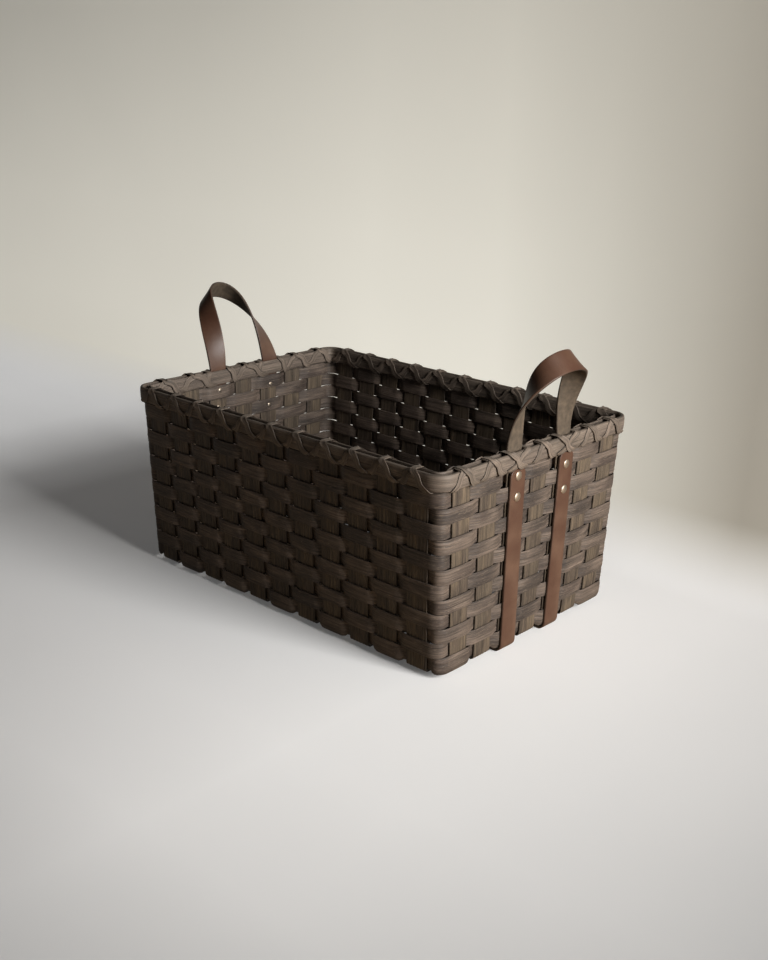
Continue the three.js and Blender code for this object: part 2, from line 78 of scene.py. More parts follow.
# Weavers, the rows that go round the walls
WEAVER_ROWS = 12
WEAVER_THICK = 1
WEAVER_GAP = 0.4
WEAVE_FOOT = 8
WEAVER_BULGE = 0.35
WEAVER_DIVE = 0.15
WEAVER_CROWN = 0.3
WEAVER_SPREAD = 0.38
WEAVER_BESIDE_SPREAD = 0.45
WEAVER_CORNER_SPREAD = 0.15
TOP_ROW_LIFT = 1
BOTTOM_ROW_DROP = 3

# Rim hoops and the lashing that binds them
HOOP_HEIGHT = 16
OUTER_HOOP_THICK = 3.5
INNER_HOOP_THICK = 2.6
HOOP_SWELL = 1.2
RIM_SQUARENESS = 4
LASH_THICK = 0.6
LASH_WIDTH = 6.8
OVER_TOP = -1.5
OVER_FOOT = 15
OVER_LEG_TOP = -14
OVER_LEG_FOOT = 8
UNDER_TOP = 3
UNDER_FOOT = 16.5
UNDER_LEG_TOP = -15

# Leather straps and handles
LEATHER_THICK = 2.6
STRAP_WIDTH = 22
STRAP_END_RADIUS = 6
HINGE_LIFT = 2

# The loops' shapes: angles in degrees
RIGHT_LOOP = {
    "rise": 83,
    "draw_in": 4,
    "crown_reach": 37,
    "side_share": 0.58,
    "foot_lean": -2,
    "crown_lean": 38,
    "twist": 101,
    "twist_power": 1.7,
}
LEFT_LOOP = {
    "rise": 92,
    "draw_in": 5,
    "crown_reach": 28.5,
    "side_share": 0.49,
    "foot_lean": 13,
    "crown_lean": 52.5,
    "twist": 92,
    "twist_power": 1.15,
}

# Rivets
RIVET_HEAD_RADIUS = 4.5
RIVET_HEAD_RISE = 1.4
RIVET_CAP_RADIUS = 2.6
RIVET_CAP_RISE = 0.8
RIVET_SHANK_RADIUS = 1.5
RIVET_SIDES = 32
RIVET_HEAD_FULLNESS = 0.8
DOME_STEPS = 7
# Each strap's rivets: the level, and how many rows below the top one they sit
RIVET_ROWS = {
    "front": {"upper": 0.34, "lower": 1.75},
    "rear": {"upper": 0.72, "lower": 2.48},
}

# The kinds of strip. Of a cross-section: its points along a face, how square
# its edges are, its ribs with their depth as a share of half the thickness,
# and how far its lower edge curls in. Of a surface: how far fibres stand out
# and edges wander.
PLAIN = {"ribs": 0, "rib_share": 0.0, "curl": 0, "wander": 0.0}
STAKE_RIBS = {"ribs": 6, "rib_share": 0.22}
WEAVER_STRIP = {"across": 24, "squareness": 7, "ribs": 4, "rib_share": 0.16, "relief": 0.5, "wander": 0.7}
STRIP_KINDS = {
    "weaver": {**PLAIN, **WEAVER_STRIP},
    "bottom weaver": {**PLAIN, **WEAVER_STRIP, "curl": 3},
    "stake": {**PLAIN, **STAKE_RIBS, "across": 36, "squareness": 9, "relief": 0.3, "wander": 0.5},
    "hoop": {**PLAIN, "across": 24, "squareness": 3.2, "relief": 0.35, "wander": 0.4},
    "lashing": {**PLAIN, "across": 12, "squareness": 4, "relief": 0.15, "wander": 0.3},
    "leather": {**PLAIN, "across": 28, "squareness": 14, "relief": 0.1},
}
EDGE_CROWDING = 1.35
CURL_POWER = 3

# Seeds of the strips' grain, to which a strip's number is added where a kind
# has several
CROSS_STAKE_SEEDS = 20
LONG_STAKE_SEEDS = 40
OUTER_HOOP_SEED = 50
INNER_HOOP_SEED = 51
LASHING_SEEDS = 52
BASE_STRAP_SEED = 60
HANDLE_SEEDS = 70

# Steps along and around the strips. The lashing goes round the rim in quarter
# turns: straight over it up to SLANT_TURN, then slanting to its foot, which it
# reaches at FOOT_TURN.
WALL_STEP = 2.6
CORNER_STEPS = 12
STAKE_STEP_LENGTH = 6
WOVEN_STEP_LENGTH = 4
BEND_STEPS = 6
LASH_STEPS = 48
LASH_TURNS = 4
LASH_START = math.radians(225)
SLANT_TURN = 1.75
FOOT_TURN = 3
SLANT_SOFTNESS = 0.5
STRAP_STEP = 5
STRAP_END_STEPS = 6
STRAP_BEND_STEPS = 12
LEG_STEP = 2
LOOP_STEPS = 96
WELD = 0.002

# Places through the wall, measured outwards from its middle surface
WEAVER_OFFSET = STAKE_THICK / 2 + CLEAR + WEAVER_THICK / 2
WEAVE_FACE = WEAVER_OFFSET + WEAVER_THICK / 2
STRAP_OFFSET = WEAVE_FACE + CLEAR + LEATHER_THICK / 2
OUTER_HOOP_IN = STAKE_THICK / 2 + CLEAR
OUTER_HOOP_OUT = OUTER_HOOP_IN + OUTER_HOOP_THICK
RIM_LEG_OFFSET = -(STAKE_THICK / 2 + CLEAR + LEATHER_THICK / 2)
INNER_HOOP_OUT = RIM_LEG_OFFSET - LEATHER_THICK / 2 - CLEAR
LEG_COVER_OFFSET = INNER_HOOP_OUT - WEAVER_THICK / 2
INNER_HOOP_IN = INNER_HOOP_OUT - INNER_HOOP_THICK

# Heights
HOOP_FOOT = RIM_HEIGHT - HOOP_HEIGHT
LASH_LAYER = LASH_THICK + CLEAR
WEAVE_TOP = HOOP_FOOT - 2 * LASH_LAYER - CLEAR
ROW_PITCH = (WEAVE_TOP - WEAVE_FOOT + WEAVER_GAP) / WEAVER_ROWS
STAKE_TOP = RIM_HEIGHT - STAKE_TUCK
STAKE_LEVEL_STEP = STAKE_THICK + CLEAR
LONG_LEVEL = LEATHER_THICK + CLEAR + STAKE_THICK / 2 + STAKE_LEVEL_STEP
BEND_CENTRE_HEIGHT = LONG_LEVEL + STAKE_BEND
HINGE_HEIGHT = RIM_HEIGHT + HINGE_LIFT
STRAP_TOP = HOOP_FOOT - 2 * CLEAR

# The basket's middle, from the outer hoop, because the handles reach further
# out at the left end than at the right
hoop_low, hoop_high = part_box("outer_rim_hoop")
MIDDLE = (hoop_low + hoop_high) / 2 / MM
MIDDLE.z = 0


def mix(a, b, share):
    return a + (b - a) * share


def half_x(z):
    base = BASE_LENGTH / 2 - WEAVE_FACE
    return mix(base, RIM_LENGTH / 2 - OUTER_HOOP_OUT, z / RIM_HEIGHT)


def half_y(z):
    base = BASE_WIDTH / 2 - WEAVE_FACE
    return mix(base, RIM_WIDTH / 2 - OUTER_HOOP_OUT, z / RIM_HEIGHT)


def from_middle(index, count):
    return index - (count - 1) / 2


def pitch(half, margin, count, z):
    return (half(z) - CORNER_RADIUS - margin - STAKE_WIDTH / 2) / from_middle(count - 1, count)


def cross_pitch(z):
    return pitch(half_x, LONG_WALL_MARGIN, CROSS_STAKES, z)


def long_pitch(z):
    return pitch(half_y, SHORT_WALL_MARGIN, LONG_STAKES, z)


def row_height(rows):
    return WEAVE_TOP - rows * ROW_PITCH


# The four walls, anticlockwise from above and starting at the rear, each with
# the number of its first stake. Stakes are counted from the front wall on.
LONG_WALL = {"half": half_y, "pitch": cross_pitch, "count": CROSS_STAKES, "has_legs": False}
SHORT_WALL = {"half": half_x, "pitch": long_pitch, "count": LONG_STAKES, "has_legs": True}
STAKES_ON_TWO_WALLS = CROSS_STAKES + LONG_STAKES
SIDES = [
    {"name": "rear", "out": (0, 1), "along": (-1, 0), "first": STAKES_ON_TWO_WALLS, **LONG_WALL},
    {"name": "left", "out": (-1, 0), "along": (0, -1),
     "first": STAKES_ON_TWO_WALLS + CROSS_STAKES, **SHORT_WALL},
    {"name": "front", "out": (0, -1), "along": (1, 0), "first": 0, **LONG_WALL},
    {"name": "right", "out": (1, 0), "along": (0, 1), "first": CROSS_STAKES, **SHORT_WALL},
]


def side_point(side, outward, onward, z):
    """A point in the frame, from its distances out from the basket's middle and along a wall."""
    (out_x, out_y), (along_x, along_y) = side["out"], side["along"]
    across = Vector((out_x * outward + along_x * onward, out_y * outward + along_y * onward, z))
    return MIDDLE + across


def lean(side):
    """How far a wall moves outwards for each step up."""
    return (side["half"](RIM_HEIGHT) - side["half"](0)) / RIM_HEIGHT


def wall_point(side, across, offset, z):
    return side_point(side, side["half"](z) + offset, across, z)


def wall_normal(side):
    """The way out of a wall, square to its face."""
    out_x, out_y = side["out"]
    return Vector((out_x, out_y, -lean(side))).normalized()


def wall_line(z):
    """The wall's middle line at a height: its points with their ways out, runs and leans, then the
    stakes and the runs of the corners' middles."""
    points, stakes, corners = [], [], []
    run = 0
    for side, following in zip(SIDES, SIDES[1:] + SIDES[:1]):
        reach = following["half"](z) - CORNER_RADIUS
        count = round(2 * reach / WALL_STEP)
        out = Vector((*side["out"], 0))
        for k in range(count):
            across = reach * (2 * k / count - 1)
            at = side_point(side, side["half"](z), across, z)
            points.append((at, out, run + reach + across, lean(side)))
        for j in range(side["count"]):
            across = from_middle(j, side["count"]) * side["pitch"](z)
            stakes.append((side["first"] + j, run + reach + across))
        run += 2 * reach
        onward = Vector((*side["along"], 0))
        centre = side_point(side, side["half"](z) - CORNER_RADIUS, reach, z)
        for k in range(CORNER_STEPS):
            angle = math.pi / 2 * k / CORNER_STEPS
            way = out * math.cos(angle) + onward * math.sin(angle)
            leaning = mix(lean(side), lean(following), k / CORNER_STEPS)
            points.append((centre + way * CORNER_RADIUS, way, run + CORNER_RADIUS * angle, leaning))
        corners.append(run + CORNER_RADIUS * math.pi / 4)
        run += CORNER_RADIUS * math.pi / 2
    return points, stakes, corners, run


def smooth_through(knots, whole=None):
    """A function through (place, value) knots that never swings past them. Given the whole round,
    it repeats."""
    knots = sorted(knots)
    if whole:
        before = [(x - whole, y) for x, y in knots[-3:]]
        after = [(x + whole, y) for x, y in knots[:3]]
        knots = before + knots + after
    steps = [b[0] - a[0] for a, b in zip(knots, knots[1:])]
    rises = [(b[1] - a[1]) / step for a, b, step in zip(knots, knots[1:], steps)]
    slopes = [0.0]
    for left, right in zip(rises, rises[1:]):
        slopes.append(2 * left * right / (left + right) if left * right > 0 else 0.0)
    slopes.append(0.0)

    def value(place):
        k = 0
        while k < len(steps) - 1 and place > knots[k + 1][0]:
            k += 1
        t = min(max((place - knots[k][0]) / steps[k], 0), 1)
        low, high = knots[k][1], knots[k + 1][1]
        keep = (1 + 2 * t) * (1 - t) ** 2
        return (
            low * keep + high * (1 - keep)
            + slopes[k] * steps[k] * t * (1 - t) ** 2
            - slopes[k + 1] * steps[k] * t * t * (1 - t)
        )

    return value


# Strips. A station on a strip's path holds its middle, the way its width
# runs, half its width, half its thickness and its crown.
def station(at, wide, width, thick, crown=0.0):
    return {"at": at, "wide": wide, "half": (width / 2, thick / 2, crown)}


def capped(stations):
    """The stations of an open strip, with a shut end at both ends."""
    def shut(end):
        width, _, crown = end["half"]
        return {**end, "half": (width, 0.0, crown)}
    return [shut(stations[0]), *stations, shut(stations[-1])]


def section(name):
    """The cross-section of a kind of strip as a mesh of points, over the face and back under it.
    Its x and y run from -1 to 1."""
    kind = STRIP_KINDS[name]
    across, squareness = kind["across"], kind["squareness"]
    points = []
    for sign in (1, -1):
        for k in range(across):
            share = sign * (2 * k / across - 1)
            x = math.copysign(1 - (1 - abs(share)) ** EDGE_CROWDING, share)
            rim = (1 - abs(x) ** squareness) ** (1 / squareness)
            rib = kind["rib_share"] * math.cos(math.pi * kind["ribs"] * x) if sign > 0 else 0
            points.append((x, rim * (sign + rib) - kind["curl"] * max(0, -x) ** CURL_POWER, 0))
    mesh = bpy.data.meshes.new(name)
    mesh.from_pydata(points, [], [])
    return bpy.data.objects.new(name, mesh)


# Kinds of node that are used often
MATHS = "ShaderNodeMath"
VECTOR_MATHS = "ShaderNodeVectorMath"
NOISE = "ShaderNodeTexNoise"
RAMP = "ShaderNodeValToRGB"
MIX = "ShaderNodeMix"
SEPARATE = "ShaderNodeSeparateXYZ"
COMBINE = "ShaderNodeCombineXYZ"
# The sockets of a Mix node's share and two colours, and that of the result
SHARE, FIRST, SECOND, MIXED = 0, 6, 7, 2


def add(tree, kind, inputs=None, stops=(), **settings):
    """Adds a node. inputs maps a socket's name or number to a value, to another node's socket, or
    to a node, whose first output is meant. stops are a colour ramp's places and colours."""
    made = tree.nodes.new(kind)
    for name, value in settings.items():
        setattr(made, name, value)
    for socket, value in (inputs or {}).items():
        if isinstance(value, bpy.types.Node):
            value = value.outputs[0]
        if isinstance(value, bpy.types.NodeSocket):
            tree.links.new(value, made.inputs[socket])
        else:
            made.inputs[socket].default_value = value
    if stops:
        marks = made.color_ramp.elements
        while len(marks) < len(stops):
            marks.new(0.5)
        for mark, (place, shade) in zip(marks, stops):
            mark.position = place
            mark.color = shade
    return made


def new_tree(name, sockets):
    tree = bpy.data.node_groups.new(name, "GeometryNodeTree")
    for label, kind in sockets:
        tree.interface.new_socket(label, in_out="INPUT", socket_type=kind)
    tree.interface.new_socket("Geometry", in_out="OUTPUT", socket_type="NodeSocketGeometry")
    return tree


# What a path holds at each station, beside its place
PATH_VALUES = {"wide": "FLOAT_VECTOR", "out": "FLOAT_VECTOR", "half": "FLOAT_VECTOR", "run": "FLOAT"}

# The fibres' noise and the edges' wander: marks to the metre along the strip,
# how fast the noise changes across it, and the step from strip to strip
FIBRE_NOISE = {"along": 16, "across": 900, "seed_step": 37}
WANDER_NOISE = {"along": 30, "across": 5, "seed_step": 11}


def strip_tree():
    """Lays a section along a path of stations and welds the seams and the shut ends. The UV map
    keeps the run along the strip and the place across it, in millimetres."""
    tree = new_tree("flat strip along a path", [
        ("Geometry", "NodeSocketGeometry"),
        ("Section", "NodeSocketObject"),
        ("Round", "NodeSocketInt"),
        ("Whole run", "NodeSocketFloat"),
        ("Fibre relief", "NodeSocketFloat"),
        ("Edge wander", "NodeSocketFloat"),
        ("Seed", "NodeSocketFloat"),
        ("Weld", "NodeSocketFloat"),
        ("Material", "NodeSocketMaterial"),
    ])
    given = add(tree, "NodeGroupInput").outputs
    path = given["Geometry"]
    outline = add(tree, "GeometryNodeObjectInfo", {"Object": given["Section"]}).outputs["Geometry"]
    stations, around = [
        add(tree, "GeometryNodeAttributeDomainSize", {"Geometry": geometry}).outputs["Point Count"]
        for geometry in (path, outline)
    ]

    # A grid with a column for each station and a row for each point of the section
    columns = add(tree, MATHS, {0: stations, 1: given["Round"]}, operation="ADD")
    rows = add(tree, MATHS, {0: around, 1: 1.0}, operation="ADD")
    grid = add(tree, "GeometryNodeMeshGrid", {"Vertices X": columns, "Vertices Y": rows})
    index = add(tree, "GeometryNodeInputIndex")
    midway = add(tree, MATHS, {0: index, 1: 0.5}, operation="ADD")
    columns_before = add(tree, MATHS, {0: midway, 1: rows}, operation="DIVIDE")
    column = add(tree, MATHS, {0: columns_before}, operation="FLOOR")
    here = add(tree, MATHS, {0: column, 1: stations}, operation="MODULO")
    column_start = add(tree, MATHS, {0: column, 1: rows}, operation="MULTIPLY")
    row = add(tree, MATHS, {0: index, 1: column_start}, operation="SUBTRACT")
    spot = add(tree, MATHS, {0: row, 1: around}, operation="MODULO")

    # What the path and the section hold there
    position = add(tree, "GeometryNodeInputPosition")
    fields = [
        ("middle", "FLOAT_VECTOR", path, position, here),
        ("place", "FLOAT_VECTOR", outline, position, spot),
    ]
    for name, kind in PATH_VALUES.items():
        field = add(tree, "GeometryNodeInputNamedAttribute", {"Name": name}, data_type=kind)
        fields.append((name, kind, path, field, here))
    found = {}
    for name, kind, geometry, field, number in fields:
        sample = add(tree, "GeometryNodeSampleIndex", data_type=kind, domain="POINT", inputs={
            "Geometry": geometry, "Value": field, "Index": number,
        })
        found[name] = sample.outputs["Value"]
    half_width, half_thick, crown_height = add(tree, SEPARATE, {0: found["half"]}).outputs
    x, y, _ = add(tree, SEPARATE, {0: found["place"]}).outputs
    spread = add(tree, MATHS, {0: x, 1: half_width}, operation="MULTIPLY")

    # The run goes on past the seam of a round strip
    past_column = add(tree, MATHS, {0: column, 1: 0.5}, operation="ADD")
    rounds_before = add(tree, MATHS, {0: past_column, 1: stations}, operation="DIVIDE")
    rounds = add(tree, MATHS, {0: rounds_before}, operation="FLOOR")
    run = add(tree, MATHS, {0: given["Whole run"], 1: rounds, 2: found["run"]}, operation="MULTIPLY_ADD")

    # Fibres are narrow ridges that run on for about 60 mm and then fade
    edge = add(tree, MATHS, {0: x}, operation="SIGN")
    waves = []
    for across, noise in ((spread, FIBRE_NOISE), (edge, WANDER_NOISE)):
        along = add(tree, VECTOR_MATHS, {0: found["middle"], "Scale": noise["along"]}, operation="SCALE")
        seed = add(tree, MATHS, {0: given["Seed"], 1: noise["seed_step"]}, operation="MULTIPLY")
        aside = add(tree, MATHS, {0: across, 1: noise["across"], 2: seed}, operation="MULTIPLY_ADD")
        level = add(tree, NOISE, noise_dimensions="4D", inputs={
            "Vector": along, "W": aside, "Scale": 1.0, "Detail": 1.0,
        })
        waves.append(add(tree, MATHS, {0: level, 1: 0.5}, operation="SUBTRACT"))
    fibre, wander = waves

    # Across the strip: the edges wander. Off its middle: crown, face and fibres
    from_middle_line = add(tree, MATHS, {0: x}, operation="ABSOLUTE")
    reach = add(tree, MATHS, {0: given["Edge wander"], 1: from_middle_line}, operation="MULTIPLY")
    across = add(tree, MATHS, {0: wander, 1: reach, 2: spread}, operation="MULTIPLY_ADD")
    squared = add(tree, MATHS, {0: x, 1: x}, operation="MULTIPLY")
    fall = add(tree, MATHS, {0: 1.0, 1: squared}, operation="SUBTRACT")
    crown = add(tree, MATHS, {0: crown_height, 1: fall}, operation="MULTIPLY")
    face = add(tree, MATHS, {0: y, 1: half_thick, 2: crown}, operation="MULTIPLY_ADD")
    relief = add(tree, MATHS, {0: fibre, 1: given["Fibre relief"]}, operation="MULTIPLY")
    is_open = add(tree, MATHS, {0: half_thick, 1: 0.0}, operation="GREATER_THAN")
    raised = add(tree, MATHS, {0: y, 1: is_open}, operation="MULTIPLY")
    height = add(tree, MATHS, {0: relief, 1: raised, 2: face}, operation="MULTIPLY_ADD")
    target = found["middle"]
    for way, distance in ((found["wide"], across), (found["out"], height)):
        target = add(tree, VECTOR_MATHS, {0: way, 1: distance, 2: target}, operation="MULTIPLY_ADD")
    shaped = add(tree, "GeometryNodeSetPosition", {"Geometry": grid, "Position": target})

    spread_in_mm = add(tree, MATHS, {0: spread, 1: 1 / MM}, operation="MULTIPLY")
    mapped = add(tree, COMBINE, {0: run, 1: spread_in_mm})
    from_place = add(tree, "GeometryNodeInputNamedAttribute", {"Name": "place"}, data_type="FLOAT_VECTOR")
    kept = [
        ("place", "FLOAT_VECTOR", "POINT", mapped),
        ("UVMap", "FLOAT2", "CORNER", from_place),
        ("section", "FLOAT_VECTOR", "POINT", add(tree, COMBINE, {0: x, 1: y})),
        ("strip", "FLOAT", "POINT", given["Seed"]),
    ]
    for name, kind, domain, value in kept:
        shaped = add(tree, "GeometryNodeStoreNamedAttribute", data_type=kind, domain=domain, inputs={
            "Geometry": shaped, "Name": name, "Value": value,
        })
    welded = add(tree, "GeometryNodeMergeByDistance", {"Geometry": shaped, "Distance": given["Weld"]})
    smooth = add(tree, "GeometryNodeSetShadeSmooth", {"Geometry": welded})
    whole = add(tree, "GeometryNodeRealizeInstances", {"Geometry": smooth})
    done = add(tree, "GeometryNodeSetMaterial", {"Geometry": whole, "Material": given["Material"]})
    add(tree, "NodeGroupOutput", {"Geometry": done})
    return tree


def grown(host, tree, values):
    """The host's mesh after a tree has worked on it, as a plain mesh object. values maps the tree's
    inputs to what they get."""
    collection = bpy.context.scene.collection
    collection.objects.link(host)
    modifier = host.modifiers.new("shape", "NODES")
    modifier.node_group = tree
    for item in tree.interface.items_tree:
        if item.in_out == "INPUT" and item.name in values:
            modifier[item.identifier] = values[item.name]
    graph = bpy.context.evaluated_depsgraph_get()
    mesh = bpy.data.meshes.new_from_object(host.evaluated_get(graph))
    name = host.name
    host.modifiers.remove(modifier)
    bpy.data.objects.remove(host)
    mesh.name = name
    made = bpy.data.objects.new(name, mesh)
    collection.objects.link(made)
    return made


def path_mesh(name, stations, is_round):
    """A path's points, with what the strip tree reads from them. Sizes are in metres, and the run
    is in millimetres."""
    count = len(stations)
    places = [s["at"] * MM for s in stations]
    ways, outs, runs = [], [], []
    run = 0.0
    for i, s in enumerate(stations):
        before = places[i - 1] if is_round or i > 0 else places[i]
        after = places[(i + 1) % count] if is_round or i < count - 1 else places[i]
        if (after - before).length < WELD * MM:
            after = places[min(i + 2, count - 1)]
            before = places[max(i - 2, 0)]
        forward = (after - before).normalized()
        wide = (s["wide"] - forward * s["wide"].dot(forward)).normalized()
        ways.append(wide)
        outs.append(forward.cross(wide))
        runs.append(run)
        run += (places[(i + 1) % count] - places[i]).length / MM
    mesh = bpy.data.meshes.new(name)
    mesh.from_pydata(places, [], [])
    kept = {
        "wide": ("FLOAT_VECTOR", "vector", ways),
        "out": ("FLOAT_VECTOR", "vector", outs),
        "half": ("FLOAT_VECTOR", "vector", [Vector(s["half"]) * MM for s in stations]),
        "run": ("FLOAT", "value", runs),
    }
    for label, (kind, field, values) in kept.items():
        attribute = mesh.attributes.new(label, kind, "POINT")
        flat = values if kind == "FLOAT" else [number for value in values for number in value]
        attribute.data.foreach_set(field, flat)
    return mesh, run


def strip(name, kind, stations, seed, is_round=False):
    """A flat strip of one of the kinds along its stations, as a finished mesh."""
    laid = stations if is_round else capped(stations)
    mesh, run = path_mesh(name, laid, is_round)
    host = bpy.data.objects.new(name + ".path", mesh)
    made = grown(host, STRIP_TREE, {
        "Section": SECTIONS[kind],
        "Round": 1 if is_round else 0,
        "Whole run": run,
        "Fibre relief": STRIP_KINDS[kind]["relief"] * MM,
        "Edge wander": STRIP_KINDS[kind]["wander"] * MM,
        "Seed": float(seed),
        "Weld": WELD * MM,
        "Material": FINISHES[kind],
    })
    made.name = name
    made.data.name = name
    return made


def settle(piece, body, slot, *nodes):
    """Gives a finished piece its body and hides the imported parts that it stands for. slot is not used."""
    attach(piece, body)
    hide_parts(*nodes)


# Colours and materials
def colour(code):
    """A colour written as an sRGB hex value, as linear red, green, blue and alpha."""
    parts = [int(code[i:i + 2], 16) / 255 for i in (1, 3, 5)]
    return (*[c / 12.92 if c <= 0.04045 else ((c + 0.055) / 1.055) ** 2.4 for c in parts], 1.0)


def new_material(name):
    made = bpy.data.materials.new(name)
    made.use_nodes = True
    made.node_tree.nodes.clear()
    return made, made.node_tree


def grey(level):
    return (level, level, level, 1.0)


# Marks in a splint: their length, and their width in millimetres and in
# fibres, then the noise's detail and roughness
SPLINT_MARKS = {
    "tone": (70, 26, 0, 1.0, 0.55),
    "broad": (90, 0, 5, 2.0, 0.55),
    "fine": (40, 0, 1, 3.0, 0.65),
    "pores": (14, 0, 0.55, 2.0, 0.55),
    "scuffs_and_glints": (7, 0.6, 0, 3.0, 0.7),
}
TONE_PLACES = (0.36, 0.46, 0.54, 0.64)
# How strongly a mark darkens or lightens the stain, with its places and levels
SPLINT_LAYERS = [
    ("broad", 1.0, [(0.33, 0.62), (0.5, 0.98), (0.68, 1.25)]),
    ("fine", 0.85, [(0.34, 0.34), (0.49, 0.92), (0.66, 1.62)]),
    ("pores", 0.7, [(0.3, 0.35), (0.4, 1.0)]),
]
SEED_STEP = 7.3
EDGE_POWER = 14
EDGE_DARKNESS = 0.35
FINE_DEPTH = 0.7
BROAD_DEPTH = 0.5
SPLINT_BUMP = 0.8
SPLINT_ROUGHNESS = 0.72
RIDGE_GLOSS = 0.25


def splint_material(name, shades, fibre, flecks, relief):
    """Split wood strip. shades are the stain's four tones, fibre is the width of a fibre and relief
    how deep the pattern is, in millimetres, and flecks how strongly its ridges are rubbed pale by wear and
    given painted highlights."""
    made, tree = new_material(name)
    uv = add(tree, "ShaderNodeUVMap", uv_map="UVMap")
    strip_number = add(tree, "ShaderNodeAttribute", attribute_name="strip").outputs["Fac"]
    seed = add(tree, MATHS, {0: strip_number, 1: SEED_STEP}, operation="MULTIPLY")
    marks = {}
    for mark, (length, width, fibres, detail, roughness) in SPLINT_MARKS.items():
        scale = (1 / length, 1 / (width + fibres * fibre), 1)
        scaled = add(tree, "ShaderNodeMapping", {"Vector": uv, "Scale": scale})
        marks[mark] = add(tree, NOISE, noise_dimensions="4D", inputs={
            "Vector": scaled, "W": seed, "Scale": 1.0, "Detail": detail, "Roughness": roughness,
        })
    tones = [colour(shade) for shade in shades]
    wood = add(tree, RAMP, {"Fac": marks["tone"]}, stops=list(zip(TONE_PLACES, tones)))
    for mark, strength, levels in SPLINT_LAYERS:
        shade = add(tree, RAMP, {"Fac": marks[mark]}, stops=[(place, grey(level)) for place, level in levels])
        mixed = {SHARE: strength, FIRST: wood, SECOND: shade}
        wood = add(tree, MIX, mixed, data_type="RGBA", blend_type="MULTIPLY").outputs[MIXED]

    # Pale flecks on the ridges, partly wear and partly painted highlights on the fibres, then the edges made
    # darker
    rubbed = add(tree, RAMP, {"Fac": marks["scuffs_and_glints"]}, stops=[(0.56, grey(0.0)), (0.7, grey(1.0))])
    rubbed = add(tree, MATHS, {0: rubbed, 1: flecks}, operation="MULTIPLY")
    place = add(tree, "ShaderNodeAttribute", attribute_name="section").outputs["Vector"]
    x = add(tree, SEPARATE, {0: place}).outputs[0]
    across = add(tree, MATHS, {0: x}, operation="ABSOLUTE")
    edge = add(tree, MATHS, {0: across, 1: EDGE_POWER}, operation="POWER")
    edge = add(tree, MATHS, {0: edge, 1: EDGE_DARKNESS}, operation="MULTIPLY")
    for share, shade in ((rubbed, "#8f806f"), (edge, "#1c1713")):
        mixed = {SHARE: share, FIRST: wood, SECOND: colour(shade)}
        wood = add(tree, MIX, mixed, data_type="RGBA").outputs[MIXED]
    height = add(tree, MATHS, {0: marks["fine"], 1: FINE_DEPTH}, operation="MULTIPLY")
    height = add(tree, MATHS, {0: marks["broad"], 1: BROAD_DEPTH, 2: height}, operation="MULTIPLY_ADD")
    bump = add(tree, "ShaderNodeBump", {"Strength": SPLINT_BUMP, "Distance": relief * MM, "Height": height})
    gloss = {0: marks["fine"], 1: -RIDGE_GLOSS, 2: SPLINT_ROUGHNESS}
    roughness = add(tree, MATHS, gloss, operation="MULTIPLY_ADD")
    shader = add(tree, "ShaderNodeBsdfPrincipled", {
        "Base Color": wood,
        "Roughness": roughness,
        "IOR": 1.5,
        "Specular IOR Level": 0.4,
        "Normal": bump,
    })
    add(tree, "ShaderNodeOutputMaterial", {"Surface": shader})
    return made


# Stained split bamboo uprights, sliced with the grain: stiff, with straight
# light and dark ribs
STAKE_SHADES = ("#4e4439", "#453b32", "#594d3f", "#4d4338")
STAKE_SPLINT = splint_material("stained split bamboo stake", STAKE_SHADES, 0.8, 0.35, 0.35)
# Stained ash splint, pounded and peeled: fibrous, greyer and pinker in turns
WEAVER_SHADES = ("#3d3530", "#4e443d", "#60544b", "#463c36")
WEAVER_SPLINT = splint_material("stained peeled splint weaver", WEAVER_SHADES, 0.5, 0.55, 0.4)
# The hoops' steamed splints: smoother, with long fibres
HOOP_SHADES = ("#594f47", "#63584f", "#695e54", "#5d534a")
HOOP_SPLINT = splint_material("stained steamed splint hoop", HOOP_SHADES, 0.5, 0.5, 0.3)
# Thin shaved lashing strands with a slight sheen
LASHING_SHADES = ("#5c5249", "#655a50", "#6c6056", "#5e544b")
LASHING_SPLINT = splint_material("stained shaved lashing strand", LASHING_SHADES, 0.5, 0.4, 0.2)

# Marks in leather: their size in millimetres and the noise's detail
LEATHER_MARKS = {"clouds": (30, 3.0), "fluff": (6, 5.0), "nap": (0.5, 2.0), "creases": (3.2, 4.0)}
PORE_SPACING = 0.7
GRAIN_STOPS = [(0.35, "#482f23"), (0.52, "#50382b"), (0.66, "#5a4234")]
FLESH_STOPS = [(0.35, "#42392e"), (0.52, "#4e4337"), (0.68, "#594d3f")]
RUB_POWER = 24
RUB_DARKNESS = 0.6
LEATHER_BUMP = 0.5
LEATHER_RELIEF = 0.12
GRAIN_ROUGHNESS = 0.44
FLESH_ROUGHER_BY = 0.4


